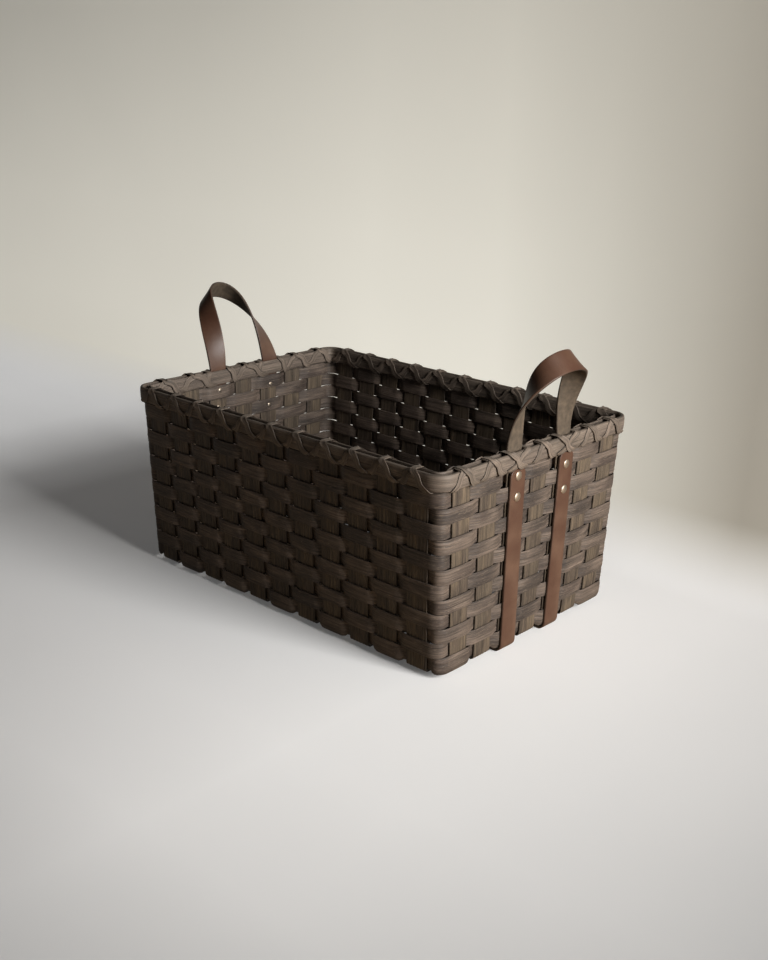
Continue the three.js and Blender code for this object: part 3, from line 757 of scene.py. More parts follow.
def leather_material():
    """Vegetable-tanned cowhide, drum-dyed brown: fine pores and creases on the grain side, short
    olive nap on the flesh side and dark rubbed edges."""
    made, tree = new_material("brown vegetable-tanned leather")
    uv = add(tree, "ShaderNodeUVMap", uv_map="UVMap")
    place = add(tree, "ShaderNodeAttribute", attribute_name="section").outputs["Vector"]
    x, y, _ = add(tree, SEPARATE, {0: place}).outputs
    marks = {}
    for mark, (size, detail) in LEATHER_MARKS.items():
        marks[mark] = add(tree, NOISE, {"Vector": uv, "Scale": 1 / size, "Detail": detail})
    sides = []
    for mark, stops in (("clouds", GRAIN_STOPS), ("fluff", FLESH_STOPS)):
        tones = [(at, colour(shade)) for at, shade in stops]
        sides.append(add(tree, RAMP, {"Fac": marks[mark]}, stops=tones))
    grain, flesh = sides
    is_flesh = add(tree, MATHS, {0: y, 1: 0.0}, operation="LESS_THAN")
    across = add(tree, MATHS, {0: x}, operation="ABSOLUTE")
    rub = add(tree, MATHS, {0: across, 1: RUB_POWER}, operation="POWER")
    rub = add(tree, MATHS, {0: rub, 1: RUB_DARKNESS}, operation="MULTIPLY")
    hide = grain
    for share, shade in ((is_flesh, flesh), (rub, colour("#2a1d16"))):
        mixed = {SHARE: share, FIRST: hide, SECOND: shade}
        hide = add(tree, MIX, mixed, data_type="RGBA").outputs[MIXED]

    # Pores on the grain side and nap on the flesh side, with creases through both
    pores = add(tree, "ShaderNodeTexVoronoi", {"Vector": uv, "Scale": 1 / PORE_SPACING}, feature="F1")
    is_grain = add(tree, MATHS, {0: 1.0, 1: is_flesh}, operation="SUBTRACT")
    height = marks["creases"]
    for depth, share in ((pores.outputs["Distance"], is_grain), (marks["nap"], is_flesh)):
        height = add(tree, MATHS, {0: depth, 1: share, 2: height}, operation="MULTIPLY_ADD")
    bump = add(tree, "ShaderNodeBump", {
        "Strength": LEATHER_BUMP, "Distance": LEATHER_RELIEF * MM, "Height": height,
    })
    nap_share = {0: is_flesh, 1: FLESH_ROUGHER_BY, 2: GRAIN_ROUGHNESS}
    roughness = add(tree, MATHS, nap_share, operation="MULTIPLY_ADD")
    shader = add(tree, "ShaderNodeBsdfPrincipled", {
        "Base Color": hide,
        "Roughness": roughness,
        "IOR": 1.48,
        "Normal": bump,
    })
    add(tree, "ShaderNodeOutputMaterial", {"Surface": shader})
    return made


# Rub marks on brass: how many to the metre, and how deep in millimetres
BRASS_MARKS = 900
BRASS_BUMP = 0.3
BRASS_RELIEF = 0.02


def brass_material():
    """Brass-plated steel rivet caps, pressed and tumbled: pale gold, softly blurred reflections and
    faint rub marks."""
    made, tree = new_material("tumbled brass rivet cap")
    place = add(tree, "ShaderNodeTexCoord").outputs["Object"]
    marks = add(tree, NOISE, {"Vector": place, "Scale": BRASS_MARKS, "Detail": 3.0})
    tint = add(tree, RAMP, {"Fac": marks}, stops=[(0.3, colour("#a4968a")), (0.7, colour("#c3b6a3"))])
    rough = add(tree, RAMP, {"Fac": marks}, stops=[(0.3, grey(0.5)), (0.7, grey(0.38))])
    bump = add(tree, "ShaderNodeBump", {
        "Strength": BRASS_BUMP, "Distance": BRASS_RELIEF * MM, "Height": marks,
    })
    shader = add(tree, "ShaderNodeBsdfPrincipled", {
        "Base Color": tint, "Metallic": 1.0, "Roughness": rough, "Normal": bump,
    })
    add(tree, "ShaderNodeOutputMaterial", {"Surface": shader})
    return made


LEATHER = leather_material()
BRASS = brass_material()
FINISHES = {
    "weaver": WEAVER_SPLINT,
    "bottom weaver": WEAVER_SPLINT,
    "stake": STAKE_SPLINT,
    "hoop": HOOP_SPLINT,
    "lashing": LASHING_SPLINT,
    "leather": LEATHER,
}
SECTIONS = {kind: section(kind) for kind in STRIP_KINDS}
STRIP_TREE = strip_tree()


# Rows of weaving
def is_outside(stake, row):
    return (stake + row) % 2 == 1


def weaver_row(row):
    top = row_height(row - 1)
    foot = row_height(row) + WEAVER_GAP
    points, stakes, corners, whole = wall_line((top + foot) / 2)
    knots = [(run, WEAVER_OFFSET) for run in corners]
    swells = [(run, WEAVER_CORNER_SPREAD) for run in corners]
    for stake, run in stakes:
        side = 1 if is_outside(stake, row) else -1
        strapped = is_strapped(stake)
        peak = WEAVER_OFFSET + (0 if strapped else WEAVER_BULGE)
        beside_peak = WEAVER_OFFSET + (0 if strapped and side > 0 else WEAVER_DIVE)
        if strapped and row == 1:
            peak = beside_peak = -LEG_COVER_OFFSET
        knots.append((run, side * peak))
        swells.append((run, WEAVER_SPREAD))
        for reach in (-1, 1):
            beside = run + reach * (STAKE_WIDTH / 2 + CLEAR)
            knots.append((beside, side * beside_peak))
            swells.append((beside + reach * CLEAR, WEAVER_BESIDE_SPREAD))
    offset, swell = smooth_through(knots, whole), smooth_through(swells, whole)
    is_last = row == WEAVER_ROWS
    stations = []
    for at, out, run, leaning in points:
        through = offset(run)
        outside = min(max(through / WEAVER_OFFSET, -1), 1)
        spread = swell(run)
        low = foot - spread - (BOTTOM_ROW_DROP * max(outside, 0) if is_last else 0)
        high = top + (TOP_ROW_LIFT if row == 1 else spread)
        z = (low + high) / 2
        middle = at + out * (through + leaning * (z - (top + foot) / 2))
        middle.z = z
        rise = (UP + out * leaning).normalized()
        stations.append(station(middle, rise, high - low, WEAVER_THICK, WEAVER_CROWN * outside))
    kind = "bottom weaver" if is_last else "weaver"
    return strip(f"weaver_{row}", kind, stations, seed=row, is_round=True)


def is_strapped(stake):
    """Whether a base strap covers this stake of a short wall."""
    for side in SIDES:
        if side["has_legs"] and side["first"] <= stake < side["first"] + side["count"]:
            return abs(from_middle(stake - side["first"], LONG_STAKES)) == 1
    return False


# Stakes. Each goes down one wall, across the base and up the other wall.
def stake_rise(half, row_of):
    """From the bend at the base to the top: (distance out, height) points."""
    centre = half(BEND_CENTRE_HEIGHT) - STAKE_BEND
    points = []
    for k in range(BEND_STEPS + 1):
        angle = math.pi / 2 * k / BEND_STEPS
        out, down = STAKE_BEND * math.sin(angle), STAKE_BEND * math.cos(angle)
        points.append((centre + out, BEND_CENTRE_HEIGHT - down))
    count = round((STAKE_TOP - BEND_CENTRE_HEIGHT) / STAKE_STEP_LENGTH)
    for k in range(1, count + 1):
        z = mix(BEND_CENTRE_HEIGHT, STAKE_TOP, k / count)
        rows = (WEAVE_TOP - z) / ROW_PITCH
        inside_weave = 0 < rows < WEAVER_ROWS
        sway = STAKE_SWAY * math.cos(math.pi * (rows - 0.5 + row_of)) if inside_weave else 0
        points.append((half(z) + sway, z))
    return points


def cross_stake(index):
    step = from_middle(index, CROSS_STAKES)
    rise = stake_rise(half_y, index)
    knots = []
    for m in range(LONG_STAKES):
        level = LONG_LEVEL + (STAKE_LEVEL_STEP if (index + m) % 2 == 0 else -STAKE_LEVEL_STEP)
        for reach in (-1, 1):
            knots.append((from_middle(m, LONG_STAKES) * long_pitch(0) + reach * STAKE_WIDTH / 2, level))
    end = rise[0][0]
    knots += [(-end, LONG_LEVEL), (end, LONG_LEVEL)]
    level = smooth_through(knots)
    count = round(2 * end / WOVEN_STEP_LENGTH)
    floor = [(end * (2 * k / count - 1), level(end * (2 * k / count - 1))) for k in range(1, count)]
    fall = [(-v, z) for v, z in reversed(rise)]
    line = [MIDDLE + Vector((step * cross_pitch(z), v, z)) for v, z in [*fall, *floor, *rise]]
    stations = [station(at, Vector((1, 0, 0)), STAKE_WIDTH, STAKE_THICK) for at in line]
    return strip(f"upright_across_{index + 1}", "stake", stations, CROSS_STAKE_SEEDS + index)


def long_stake(index):
    step = from_middle(index, LONG_STAKES)
    rise = stake_rise(half_x, index)
    end = rise[0][0]
    count = round(2 * end / STAKE_STEP_LENGTH)
    floor = [(end * (2 * k / count - 1), LONG_LEVEL) for k in range(1, count)]
    fall = [(-v, z) for v, z in reversed(rise)]
    line = [MIDDLE + Vector((v, step * long_pitch(z), z)) for v, z in [*fall, *floor, *rise]]
    stations = [station(at, Vector((0, -1, 0)), STAKE_WIDTH, STAKE_THICK) for at in line]
    return strip(f"upright_along_{index + 1}", "stake", stations, LONG_STAKE_SEEDS + index)


# Rim
def rim_hoop(name, inside, outside, seed):
    middle_height = (HOOP_FOOT + RIM_HEIGHT) / 2
    points, *_ = wall_line(middle_height)
    stations = []
    for at, out, _, leaning in points:
        rise = (UP + out * leaning).normalized()
        stations.append(station(at + out * (inside + outside) / 2, rise, HOOP_HEIGHT, outside - inside))
    return strip(name, "hoop", stations, seed, is_round=True)


def rim_outline(angle, lift):
    """A point on the rounded outline round both hoops, and the way out there, each as (outward, up)."""
    inside, outside = INNER_HOOP_IN - lift, OUTER_HOOP_OUT + HOOP_SWELL + lift
    reach, rise = (outside - inside) / 2, HOOP_HEIGHT / 2 + lift
    power = 2 / RIM_SQUARENESS
    x, z = (math.copysign(abs(part) ** power, part) for part in (math.cos(angle), math.sin(angle)))
    steepness = RIM_SQUARENESS - 1
    normal_x, normal_z = (math.copysign(abs(part) ** steepness, part) for part in (x, z))
    normal = Vector((normal_x / reach, normal_z / rise))
    middle = (HOOP_FOOT + RIM_HEIGHT) / 2
    return ((inside + outside) / 2 + reach * x, middle + rise * z), normal.normalized()


def slant_share(turn):
    """How far a strand has slanted from over the rim to its foot: it starts softly, then goes on evenly."""
    share = min(max((turn - SLANT_TURN) / (FOOT_TURN - SLANT_TURN), 0), 1)
    soft = share * share / (2 * SLANT_SOFTNESS) if share < SLANT_SOFTNESS else share - SLANT_SOFTNESS / 2
    return soft / (1 - SLANT_SOFTNESS / 2)


def lashing(side, name, direction, layer, ends, leg_ends, seed):
    """One strand of a side's lashing. At each stake it comes over the rim, slants down the outside
    to its foot and passes under both hoops. ends gives its places over the rim and at the foot,
    measured from the stake, and leg_ends those at a handle's leg."""
    lift = CLEAR + layer * LASH_LAYER + LASH_THICK / 2
    overs, feet = [], []
    for j in range(side["count"]):
        step = from_middle(j, side["count"])
        over, foot = leg_ends if side["has_legs"] and abs(step) == 1 else ends
        overs.append(step * side["pitch"](RIM_HEIGHT) + over)
        feet.append(step * side["pitch"](HOOP_FOOT) + foot)
    befores = [overs[0] - side["pitch"](HOOP_FOOT) / 2] + feet[:-1]
    places = []
    for over, before, foot in zip(overs, befores, feet):
        for k in range(LASH_STEPS):
            turn = LASH_TURNS * k / LASH_STEPS
            across = mix(before, over, turn) if turn < 1 else mix(over, foot, slant_share(turn))
            places.append((across, LASH_START - math.pi / 2 * turn))
    places.append((feet[-1], -math.pi / 2))
    outward = Vector((*side["out"], 0))
    line = []
    for across, angle in places:
        (offset, z), (normal_out, normal_up) = rim_outline(angle, lift)
        line.append((wall_point(side, direction * across, offset, z), outward * normal_out + UP * normal_up))
    stations = []
    for i, (at, out) in enumerate(line):
        forward = line[min(i + 1, len(line) - 1)][0] - line[max(i - 1, 0)][0]
        wide = out.cross(forward).normalized()
        stations.append(station(at, wide, LASH_WIDTH, LASH_THICK))
    return strip(name, "lashing", stations, seed)


# Leather
def strap_end(height, rise):
    """Heights and widths where a strap rounds off towards a height."""
    ends = []
    for k in range(STRAP_END_STEPS + 1):
        angle = math.pi / 2 * k / STRAP_END_STEPS
        run = STRAP_END_RADIUS * (1 - math.cos(angle))
        ends.append((height + rise * run, STRAP_WIDTH - 2 * STRAP_END_RADIUS * (1 - math.sin(angle))))
    return ends


def base_strap(name, direction):
    across = STAKE_BEND + STRAP_OFFSET
    down = BEND_CENTRE_HEIGHT - LEATHER_THICK / 2
    centre = half_x(BEND_CENTRE_HEIGHT) - STAKE_BEND
    rise = []
    for k in range(STRAP_BEND_STEPS + 1):
        angle = math.pi / 2 * k / STRAP_BEND_STEPS
        z = BEND_CENTRE_HEIGHT - down * math.cos(angle)
        rise.append((centre + across * math.sin(angle), z, STRAP_WIDTH))
    straight_top = STRAP_TOP - STRAP_END_RADIUS
    count = round((straight_top - BEND_CENTRE_HEIGHT) / STRAP_STEP)
    for k in range(1, count):
        z = mix(BEND_CENTRE_HEIGHT, straight_top, k / count)
        rise.append((half_x(z) + STRAP_OFFSET, z, STRAP_WIDTH))
    for z, width in reversed(strap_end(STRAP_TOP, -1)):
        rise.append((half_x(z) + STRAP_OFFSET, z, width))
    end = rise[0][0]
    count = round(2 * end / STRAP_STEP)
    floor = [(end * (2 * k / count - 1), rise[0][1], STRAP_WIDTH) for k in range(1, count)]
    fall = [(-v, z, width) for v, z, width in reversed(rise)]
    stations = []
    for v, z, width in [*fall, *floor, *rise]:
        at = MIDDLE + Vector((v, direction * long_pitch(z), z))
        stations.append(station(at, Vector((0, -1, 0)), width, LEATHER_THICK))
    return strip(f"strap_under_base_{name}", "leather", stations, BASE_STRAP_SEED)


def bezier(points, t):
    a, b, c, d = points
    return a * (1 - t) ** 3 + b * 3 * t * (1 - t) ** 2 + c * 3 * t * t * (1 - t) + d * t ** 3


def loop_frames(loop):
    """The right-hand loop's middle line from its front foot over the crown to its rear foot, each
    point with the way its width runs."""
    span = long_pitch(HINGE_HEIGHT)
    side = [
        Vector((span, 0)),
        Vector((span - loop["draw_in"], loop["side_share"] * loop["rise"])),
        Vector((loop["crown_reach"], loop["rise"])),
        Vector((0, loop["rise"])),
    ]
    line = []
    for k in range(LOOP_STEPS + 1):
        share = k / LOOP_STEPS
        toward = -1 if share <= 0.5 else 1
        flat = bezier(side, 1 - abs(1 - 2 * share))
        rise = flat.y / loop["rise"]
        lean = math.radians(mix(loop["foot_lean"], loop["crown_lean"], rise))
        chord = (math.radians(loop["foot_lean"]) + lean) / 2
        at = Vector((
            half_x(HINGE_HEIGHT) + RIM_LEG_OFFSET + flat.y * math.sin(chord),
            toward * flat.x,
            HINGE_HEIGHT + flat.y * math.cos(chord),
        ))
        line.append((at, lean, math.radians(loop["twist"]) * rise ** loop["twist_power"]))
    frames = []
    for k, (at, lean, twist) in enumerate(line):
        forward = line[min(k + 1, LOOP_STEPS)][0] - line[max(k - 1, 0)][0]
        if k in (0, LOOP_STEPS):
            forward.y = 0
        forward.normalize()
        outward = Vector((math.cos(lean), 0, -math.sin(lean)))
        outward = (outward - forward * outward.dot(forward)).normalized()
        away = outward.cross(forward).normalized()
        frames.append((at, away * math.cos(twist) + outward * math.sin(twist)))
    return frames


def leg_line(direction):
    """A right-hand handle's leg from its rounded foot behind the first row up to the rim: places
    and widths."""
    foot = row_height(1)
    places = strap_end(foot, 1)
    start = foot + STRAP_END_RADIUS
    count = round((HINGE_HEIGHT - start) / LEG_STEP)
    for k in range(1, count):
        places.append((mix(start, HINGE_HEIGHT, k / count), STRAP_WIDTH))
    return [
        (Vector((half_x(z) + RIM_LEG_OFFSET, direction * long_pitch(z), z)), width)
        for z, width in places
    ]


def handle(name, end, loop):
    """One strap: up from the front upper rivet, over as the loop, and down to the rear upper rivet."""
    places = [(at, Vector((0, -1, 0)), width) for at, width in leg_line(-1)]
    places += [(at, wide, STRAP_WIDTH) for at, wide in loop_frames(loop)]
    places += [(at, Vector((0, 1, 0)), width) for at, width in reversed(leg_line(1))]
    stations = []
    for at, wide, width in places:
        at = MIDDLE + Vector((end * at.x, at.y, at.z))
        wide = -end * Vector((end * wide.x, wide.y, wide.z))
        stations.append(station(at, wide, width, LEATHER_THICK))
    if end < 0:
        stations.reverse()
        for s in stations:
            s["wide"] = -s["wide"]
    return strip(name, "leather", stations, HANDLE_SEEDS + end)


def rivet_tree():
    """Sets a rivet on each point, turned to the point's way out."""
    tree = new_tree("rivets on points", [
        ("Geometry", "NodeSocketGeometry"), ("Rivet", "NodeSocketObject"), ("Material", "NodeSocketMaterial"),
    ])
    given = add(tree, "NodeGroupInput").outputs
    info = add(tree, "GeometryNodeObjectInfo", {"Object": given["Rivet"], "As Instance": True})
    out = add(tree, "GeometryNodeInputNamedAttribute", {"Name": "out"}, data_type="FLOAT_VECTOR")
    turn = add(tree, "FunctionNodeAlignRotationToVector", {"Vector": out}, axis="Z")
    set_out = add(tree, "GeometryNodeInstanceOnPoints", {
        "Points": given["Geometry"], "Instance": info.outputs["Geometry"], "Rotation": turn,
    })
    whole = add(tree, "GeometryNodeRealizeInstances", {"Geometry": set_out})
    smooth = add(tree, "GeometryNodeSetShadeSmooth", {"Geometry": whole})
    done = add(tree, "GeometryNodeSetMaterial", {"Geometry": smooth, "Material": given["Material"]})
    add(tree, "NodeGroupOutput", {"Geometry": done})
    return tree


def rivet_mesh(cap_seat):
    """A tubular rivet turned about Z: a low domed head outside, a smaller and flatter cap inside."""
    seat = STRAP_OFFSET + LEATHER_THICK / 2
    dome = [math.pi / 2 * k / DOME_STEPS for k in range(DOME_STEPS)]
    profile = [(0, -cap_seat - RIVET_CAP_RISE)]
    for angle in reversed(dome):
        profile.append((RIVET_CAP_RADIUS * math.cos(angle), -cap_seat - RIVET_CAP_RISE * math.sin(angle)))
    profile += [(RIVET_SHANK_RADIUS, -cap_seat), (RIVET_SHANK_RADIUS, seat)]
    for angle in dome:
        rise = RIVET_HEAD_RISE * math.sin(angle) ** RIVET_HEAD_FULLNESS
        profile.append((RIVET_HEAD_RADIUS * math.cos(angle), seat + rise))
    profile.append((0, seat + RIVET_HEAD_RISE))
    points, faces = [], []
    for radius, z in profile[1:-1]:
        for k in range(RIVET_SIDES):
            angle = 2 * math.pi * k / RIVET_SIDES
            points.append(Vector((radius * math.cos(angle), radius * math.sin(angle), z)) * MM)
    rings = len(profile) - 2
    for ring in range(rings - 1):
        for k in range(RIVET_SIDES):
            a, b = ring * RIVET_SIDES + k, ring * RIVET_SIDES + (k + 1) % RIVET_SIDES
            faces.append((a, b, b + RIVET_SIDES, a + RIVET_SIDES))
    low, high = len(points), len(points) + 1
    points += [Vector((0, 0, profile[0][1])) * MM, Vector((0, 0, profile[-1][1])) * MM]
    for k in range(RIVET_SIDES):
        following = (k + 1) % RIVET_SIDES
        last = (rings - 1) * RIVET_SIDES
        faces.append((low, following, k))
        faces.append((high, last + k, last + following))
    mesh = bpy.data.meshes.new("rivet")
    mesh.from_pydata(points, [], faces)
    return mesh


def rivets(name, row_share, direction, cap_seat):
    """The two rivets that sit at the same height on the two ends."""
    z = row_height(row_share)
    places = [(MIDDLE + Vector((end * half_x(z), direction * long_pitch(z), z))) * MM for end in (1, -1)]
    outs = [wall_normal(side) for side in SIDES if side["has_legs"]]
    outs.sort(key=lambda out: -out.x)
    mesh = bpy.data.meshes.new(name)
    mesh.from_pydata(places, [], [])
    attribute = mesh.attributes.new("out", "FLOAT_VECTOR", "POINT")
    attribute.data.foreach_set("vector", [number for out in outs for number in out])
    host = bpy.data.objects.new(name, mesh)
    pattern = bpy.data.objects.new("rivet_pattern", rivet_mesh(cap_seat))
    made = grown(host, RIVET_TREE, {"Rivet": pattern, "Material": BRASS})
    made.name = name
    bpy.data.objects.remove(pattern)
    return made


RIVET_TREE = rivet_tree()
UPPER_CAP_SEAT = WEAVER_THICK / 2 - LEG_COVER_OFFSET
# How far in from the wall's middle surface each rivet's inside cap sits
CAP_SEATS = {
    ("front", "upper"): UPPER_CAP_SEAT,
    ("front", "lower"): STAKE_THICK / 2,
    ("rear", "upper"): UPPER_CAP_SEAT,
    ("rear", "lower"): WEAVE_FACE + WEAVER_DIVE,
}

# The lashing's strands: name, way round, layer, and places at a stake and at
# a handle's leg
LASHINGS = [
    ("under", -1, 0, (UNDER_TOP, UNDER_FOOT), (UNDER_LEG_TOP, UNDER_FOOT)),
    ("over", 1, 1, (OVER_TOP, OVER_FOOT), (OVER_LEG_TOP, OVER_LEG_FOOT)),
]

# Build the basket
for row in range(1, WEAVER_ROWS + 1):
    settle(weaver_row(row), "basket", "weaver_splint", f"weaver_row_{row}")
for index in range(CROSS_STAKES):
    settle(cross_stake(index), "basket", "stake_splint", f"cross_stake_{index + 1}")
for index in range(LONG_STAKES):
    settle(long_stake(index), "basket", "stake_splint", f"long_stake_{index + 1}")
outer_hoop = rim_hoop("rim_outer", OUTER_HOOP_IN, OUTER_HOOP_OUT + HOOP_SWELL, OUTER_HOOP_SEED)
inner_hoop = rim_hoop("rim_inner", INNER_HOOP_IN, INNER_HOOP_OUT, INNER_HOOP_SEED)
settle(outer_hoop, "basket", "hoop_splint", "outer_rim_hoop")
settle(inner_hoop, "basket", "hoop_splint", "inner_rim_hoop")
for number, side in enumerate(SIDES):
    for label, direction, layer, ends, leg_ends in LASHINGS:
        seed = LASHING_SEEDS + number + layer * len(SIDES)
        strand = lashing(side, f"lash_{side['name']}_{label}", direction, layer, ends, leg_ends, seed)
        settle(strand, "basket", "lashing_splint", f"lashing_{side['name']}_{label}")
for name, direction in (("front", -1), ("rear", 1)):
    settle(base_strap(name, direction), "basket", "leather", f"base_strap_{name}")
for name, end, loop in (("right", 1, RIGHT_LOOP), ("left", -1, LEFT_LOOP)):
    piece = handle(f"{name}_handle", end, loop)
    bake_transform(piece)
    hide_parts(f"{name}_handle_loop", f"{name}_handle_leg_front", f"{name}_handle_leg_rear")
for strap, direction in (("front", -1), ("rear", 1)):
    for level, row_share in RIVET_ROWS[strap].items():
        pair = rivets(f"rivets_{strap}_{level}", row_share, direction, CAP_SEATS[strap, level])
        settle(pair, "basket", "brass", f"rivet_right_{strap}_{level}", f"rivet_left_{strap}_{level}")
for shape in SECTIONS.values():
    bpy.data.objects.remove(shape)

# Camera, at the photograph's viewing angle. The picture is 768 by 960 pixels.
PICTURE_HEIGHT = 960
FOCAL_PIXELS = 1209.4
CAMERA_AZIMUTH = 42.17
CAMERA_ELEVATION = 18.67
CAMERA_ROLL = 1.40
CAMERA_DISTANCE = 1281
CAMERA_AIM = 108
AIM_RIGHT = 10.3
AIM_UP = 3.6
SENSOR = 36
CLIP_NEAR = 50
CLIP_FAR = 50000


def make_camera():
    azimuth, elevation = math.radians(CAMERA_AZIMUTH), math.radians(CAMERA_ELEVATION)
    right = Vector((math.cos(azimuth), math.sin(azimuth), 0))
    level_back = Vector((math.sin(azimuth), -math.cos(azimuth), 0))
    back = level_back * math.cos(elevation) + UP * math.sin(elevation)
    up = back.cross(right)
    roll = math.radians(CAMERA_ROLL)
    turned_right = right * math.cos(roll) + up * math.sin(roll)
    turned_up = up * math.cos(roll) - right * math.sin(roll)
    lens = bpy.data.cameras.new("camera")
    lens.sensor_fit = "VERTICAL"
    lens.sensor_width = SENSOR
    lens.sensor_height = SENSOR
    lens.lens = FOCAL_PIXELS / PICTURE_HEIGHT * SENSOR
    lens.clip_start = CLIP_NEAR * MM
    lens.clip_end = CLIP_FAR * MM
    camera = bpy.data.objects.new("camera", lens)
    place = MIDDLE + UP * CAMERA_AIM + right * AIM_RIGHT + up * AIM_UP + back * CAMERA_DISTANCE
    turn = Matrix((turned_right, turned_up, back)).transposed()
    camera.matrix_world = Matrix.Translation(place * MM) @ turn.to_4x4()
    bpy.context.scene.collection.objects.link(camera)
    bpy.context.scene.camera = camera


# The room: a floor and a wall parallel to the basket's long side
WALL_GAP = 270
WALL_COVE = 70
ROOM_REACH = 4000
WALL_TOP = 2500
COVE_STEPS = 12

# How pale the room is for the light that it throws back, and, as the camera sees it, along X, along Y and up:
# (place, level).
# What the camera sees is painted light and shade: the floor darker to the right and towards the front,
# painted light on the floor at the far left, and a painted pool of light on the wall that fades to the right
# and upwards.
FLOOR_BOUNCE = 0.33
WALL_BOUNCE = 0.2
WALL_LEVEL = 0.5
FLOOR_PAINTED_LIGHT_ALONG = [(-1000, 0.85), (200, 0.85), (330, 0.68), (430, 0.52), (600, 0.28)]
FLOOR_PAINTED_LIGHT_AWAY = [(-600, 0.62), (-450, 0.9), (-300, 1.0), (300, 1.0)]
FLOOR_GLOWS_ALONG = [(-950, 0.4), (-750, 0.36), (-560, 0.17), (-450, 0.09), (600, 0.07)]
WALL_GLOWS_ALONG = [
    (-1150, 0.46), (-600, 0.53), (-250, 0.61), (-40, 0.57), (100, 0.41), (220, 0.22), (300, 0.06),
]
WALL_GLOWS_UP = [(0, 1.15), (150, 1.12), (320, 1.0), (600, 0.68)]
CLOUD_SCALE = 3
PLASTER_ROUGHNESS = 0.9
PLASTER_GLOSS = 0.2


def fade(tree, coordinate, stops):
    """A level that changes along a coordinate, from stops of millimetres and level."""
    first, last = stops[0][0], stops[-1][0]
    share = add(tree, "ShaderNodeMapRange", {0: coordinate, 1: first * MM, 2: last * MM})
    levels = [((at - first) / (last - first), grey(level)) for at, level in stops]
    return add(tree, RAMP, {"Fac": share}, stops=levels)


def plaster_material():
    """Limewashed plaster, brushed on by hand: matt, chalky and faintly clouded. The camera sees it
    paler than the light that it throws back, with painted light and shade that change across the floor and
    the wall."""
    made, tree = new_material("pale limewashed plaster")
    rays = add(tree, "ShaderNodeLightPath").outputs
    is_camera = rays["Is Camera Ray"]
    seen = is_camera
    for ray in ("Is Glossy Ray", "Is Transmission Ray"):
        seen = add(tree, MATHS, {0: seen, 1: rays[ray]}, operation="MAXIMUM")
    place = add(tree, "ShaderNodeTexCoord").outputs["Object"]
    x, y, z = add(tree, SEPARATE, {0: place}).outputs
    on_wall = add(tree, "ShaderNodeMapRange", {0: z, 1: 0.0, 2: WALL_COVE * MM})
    marks = add(tree, NOISE, {"Vector": place, "Scale": CLOUD_SCALE, "Detail": 3.0})
    cloud = add(tree, RAMP, {"Fac": marks}, stops=[(0.3, grey(0.97)), (0.7, grey(1.0))])
    # Painted light and shade: the floor's level and the glows of floor and wall change with place
    along, away = fade(tree, x, FLOOR_PAINTED_LIGHT_ALONG), fade(tree, y, FLOOR_PAINTED_LIGHT_AWAY)
    floor_painted_light = add(tree, MATHS, {0: along, 1: away}, operation="MULTIPLY")
    along, up = fade(tree, x, WALL_GLOWS_ALONG), fade(tree, z, WALL_GLOWS_UP)
    wall_glow = add(tree, MATHS, {0: along, 1: up}, operation="MULTIPLY")

    # Each pair is mixed from the floor to the wall
    pairs = {
        "seen level": (floor_painted_light, grey(WALL_LEVEL)),
        "bounced level": (grey(FLOOR_BOUNCE), grey(WALL_BOUNCE)),
        "seen tint": (colour("#ffffff"), colour("#fffbee")),
        "glow": (fade(tree, x, FLOOR_GLOWS_ALONG), wall_glow),
    }
    room = {}
    for name, (floor, wall) in pairs.items():
        mixed = {SHARE: on_wall, FIRST: floor, SECOND: wall}
        room[name] = add(tree, MIX, mixed, data_type="RGBA").outputs[MIXED]
    mixed = {SHARE: is_camera, FIRST: room["bounced level"], SECOND: room["seen level"]}
    level = add(tree, MIX, mixed, data_type="RGBA").outputs[MIXED]
    level = add(tree, MATHS, {0: level, 1: cloud}, operation="MULTIPLY")
    mixed = {SHARE: is_camera, FIRST: colour("#ffe2bb"), SECOND: room["seen tint"]}
    tint = add(tree, MIX, mixed, data_type="RGBA").outputs[MIXED]
    mixed = {SHARE: level, FIRST: grey(0.0), SECOND: tint}
    board = add(tree, "ShaderNodeBsdfPrincipled", {
        "Base Color": add(tree, MIX, mixed, data_type="RGBA").outputs[MIXED],
        "Roughness": PLASTER_ROUGHNESS,
        "Specular IOR Level": PLASTER_GLOSS,
    })
    strength = add(tree, MATHS, {0: room["glow"], 1: cloud}, operation="MULTIPLY")
    strength = add(tree, MATHS, {0: seen, 1: strength}, operation="MULTIPLY")
    glow = add(tree, "ShaderNodeEmission", {"Color": room["seen tint"], "Strength": strength})
    both = add(tree, "ShaderNodeAddShader", {0: board, 1: glow})

    # The wall has no back, so that it hides nothing from behind
    is_back = add(tree, "ShaderNodeNewGeometry").outputs["Backfacing"]
    is_clear = add(tree, MATHS, {0: seen, 1: is_back}, operation="MULTIPLY")
    clear = add(tree, "ShaderNodeBsdfTransparent")
    one_sided = add(tree, "ShaderNodeMixShader", {0: is_clear, 1: both, 2: clear})
    add(tree, "ShaderNodeOutputMaterial", {"Surface": one_sided})
    return made


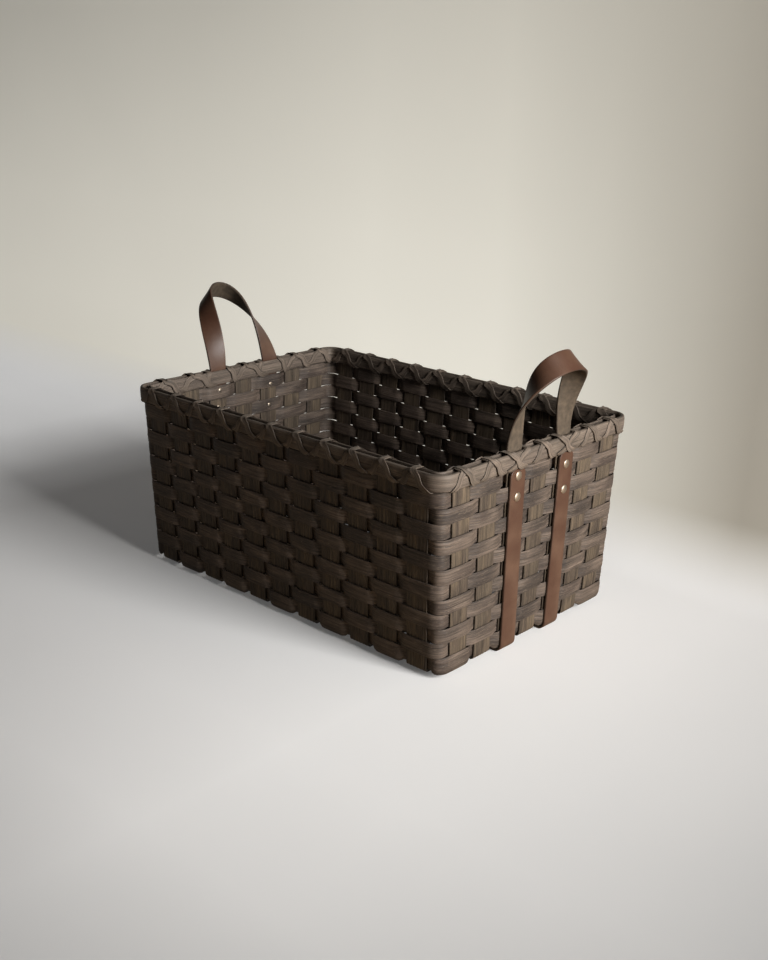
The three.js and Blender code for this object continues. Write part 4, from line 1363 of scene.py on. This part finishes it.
def make_room():
    line = [(-ROOM_REACH, 0)]
    for k in range(COVE_STEPS + 1):
        angle = math.pi / 2 * k / COVE_STEPS
        line.append((WALL_GAP - WALL_COVE * (1 - math.sin(angle)), WALL_COVE * (1 - math.cos(angle))))
    line.append((WALL_GAP, WALL_TOP))
    # The floor goes on behind the wall
    behind = [(WALL_GAP - WALL_COVE, 0), (ROOM_REACH, 0)]
    points, faces = [], []
    for profile in (line, behind):
        first = len(points)
        for y, z in profile:
            for x in (-ROOM_REACH, ROOM_REACH):
                points.append((MIDDLE + Vector((x, y, z))) * MM)
        for k in range(first, len(points) - 2, 2):
            faces.append((k, k + 1, k + 3, k + 2))
    mesh = bpy.data.meshes.new("room")
    mesh.from_pydata(points, [], faces)
    mesh.polygons.foreach_set("use_smooth", [True] * len(faces))
    mesh.materials.append(plaster_material())
    room = bpy.data.objects.new("room", mesh)
    bpy.context.scene.collection.objects.link(room)


# The window: a square lamp, and the pale sky that the camera sees past it
LAMP_PLACE = (1650, 100, 720)
LAMP_AIM = (0, 0, 100)
LAMP_SIZE = 1000
LAMP_WATTS = 77
SKY_SEEN = 0.6
SKY_LIGHT = 0.01


def make_light():
    lamp = bpy.data.lights.new("window", "AREA")
    lamp.shape = "SQUARE"
    lamp.size = LAMP_SIZE * MM
    lamp.energy = LAMP_WATTS
    lamp.color = colour("#fffdfa")[:3]
    window = bpy.data.objects.new("window", lamp)
    window.visible_camera = False
    place, aim = Vector(LAMP_PLACE) * MM, Vector(LAMP_AIM) * MM
    window.location = place
    window.rotation_mode = "QUATERNION"
    window.rotation_quaternion = (aim - place).to_track_quat("-Z", "Y")
    bpy.context.scene.collection.objects.link(window)

    world = bpy.data.worlds.new("studio")
    world.use_nodes = True
    tree = world.node_tree
    tree.nodes.clear()
    rays = add(tree, "ShaderNodeLightPath").outputs
    rays_seen = {0: rays["Is Camera Ray"], 1: rays["Is Transmission Ray"]}
    seen = add(tree, MATHS, rays_seen, operation="MAXIMUM")
    level = add(tree, MATHS, {0: seen, 1: SKY_SEEN, 2: SKY_LIGHT}, operation="MULTIPLY_ADD")
    sky = add(tree, "ShaderNodeBackground", {"Color": colour("#e9e6e0"), "Strength": level})
    add(tree, "ShaderNodeOutputWorld", {"Surface": sky})
    bpy.context.scene.world = world


make_camera()
make_room()
make_light()
bpy.context.scene.view_settings.view_transform = "Standard"
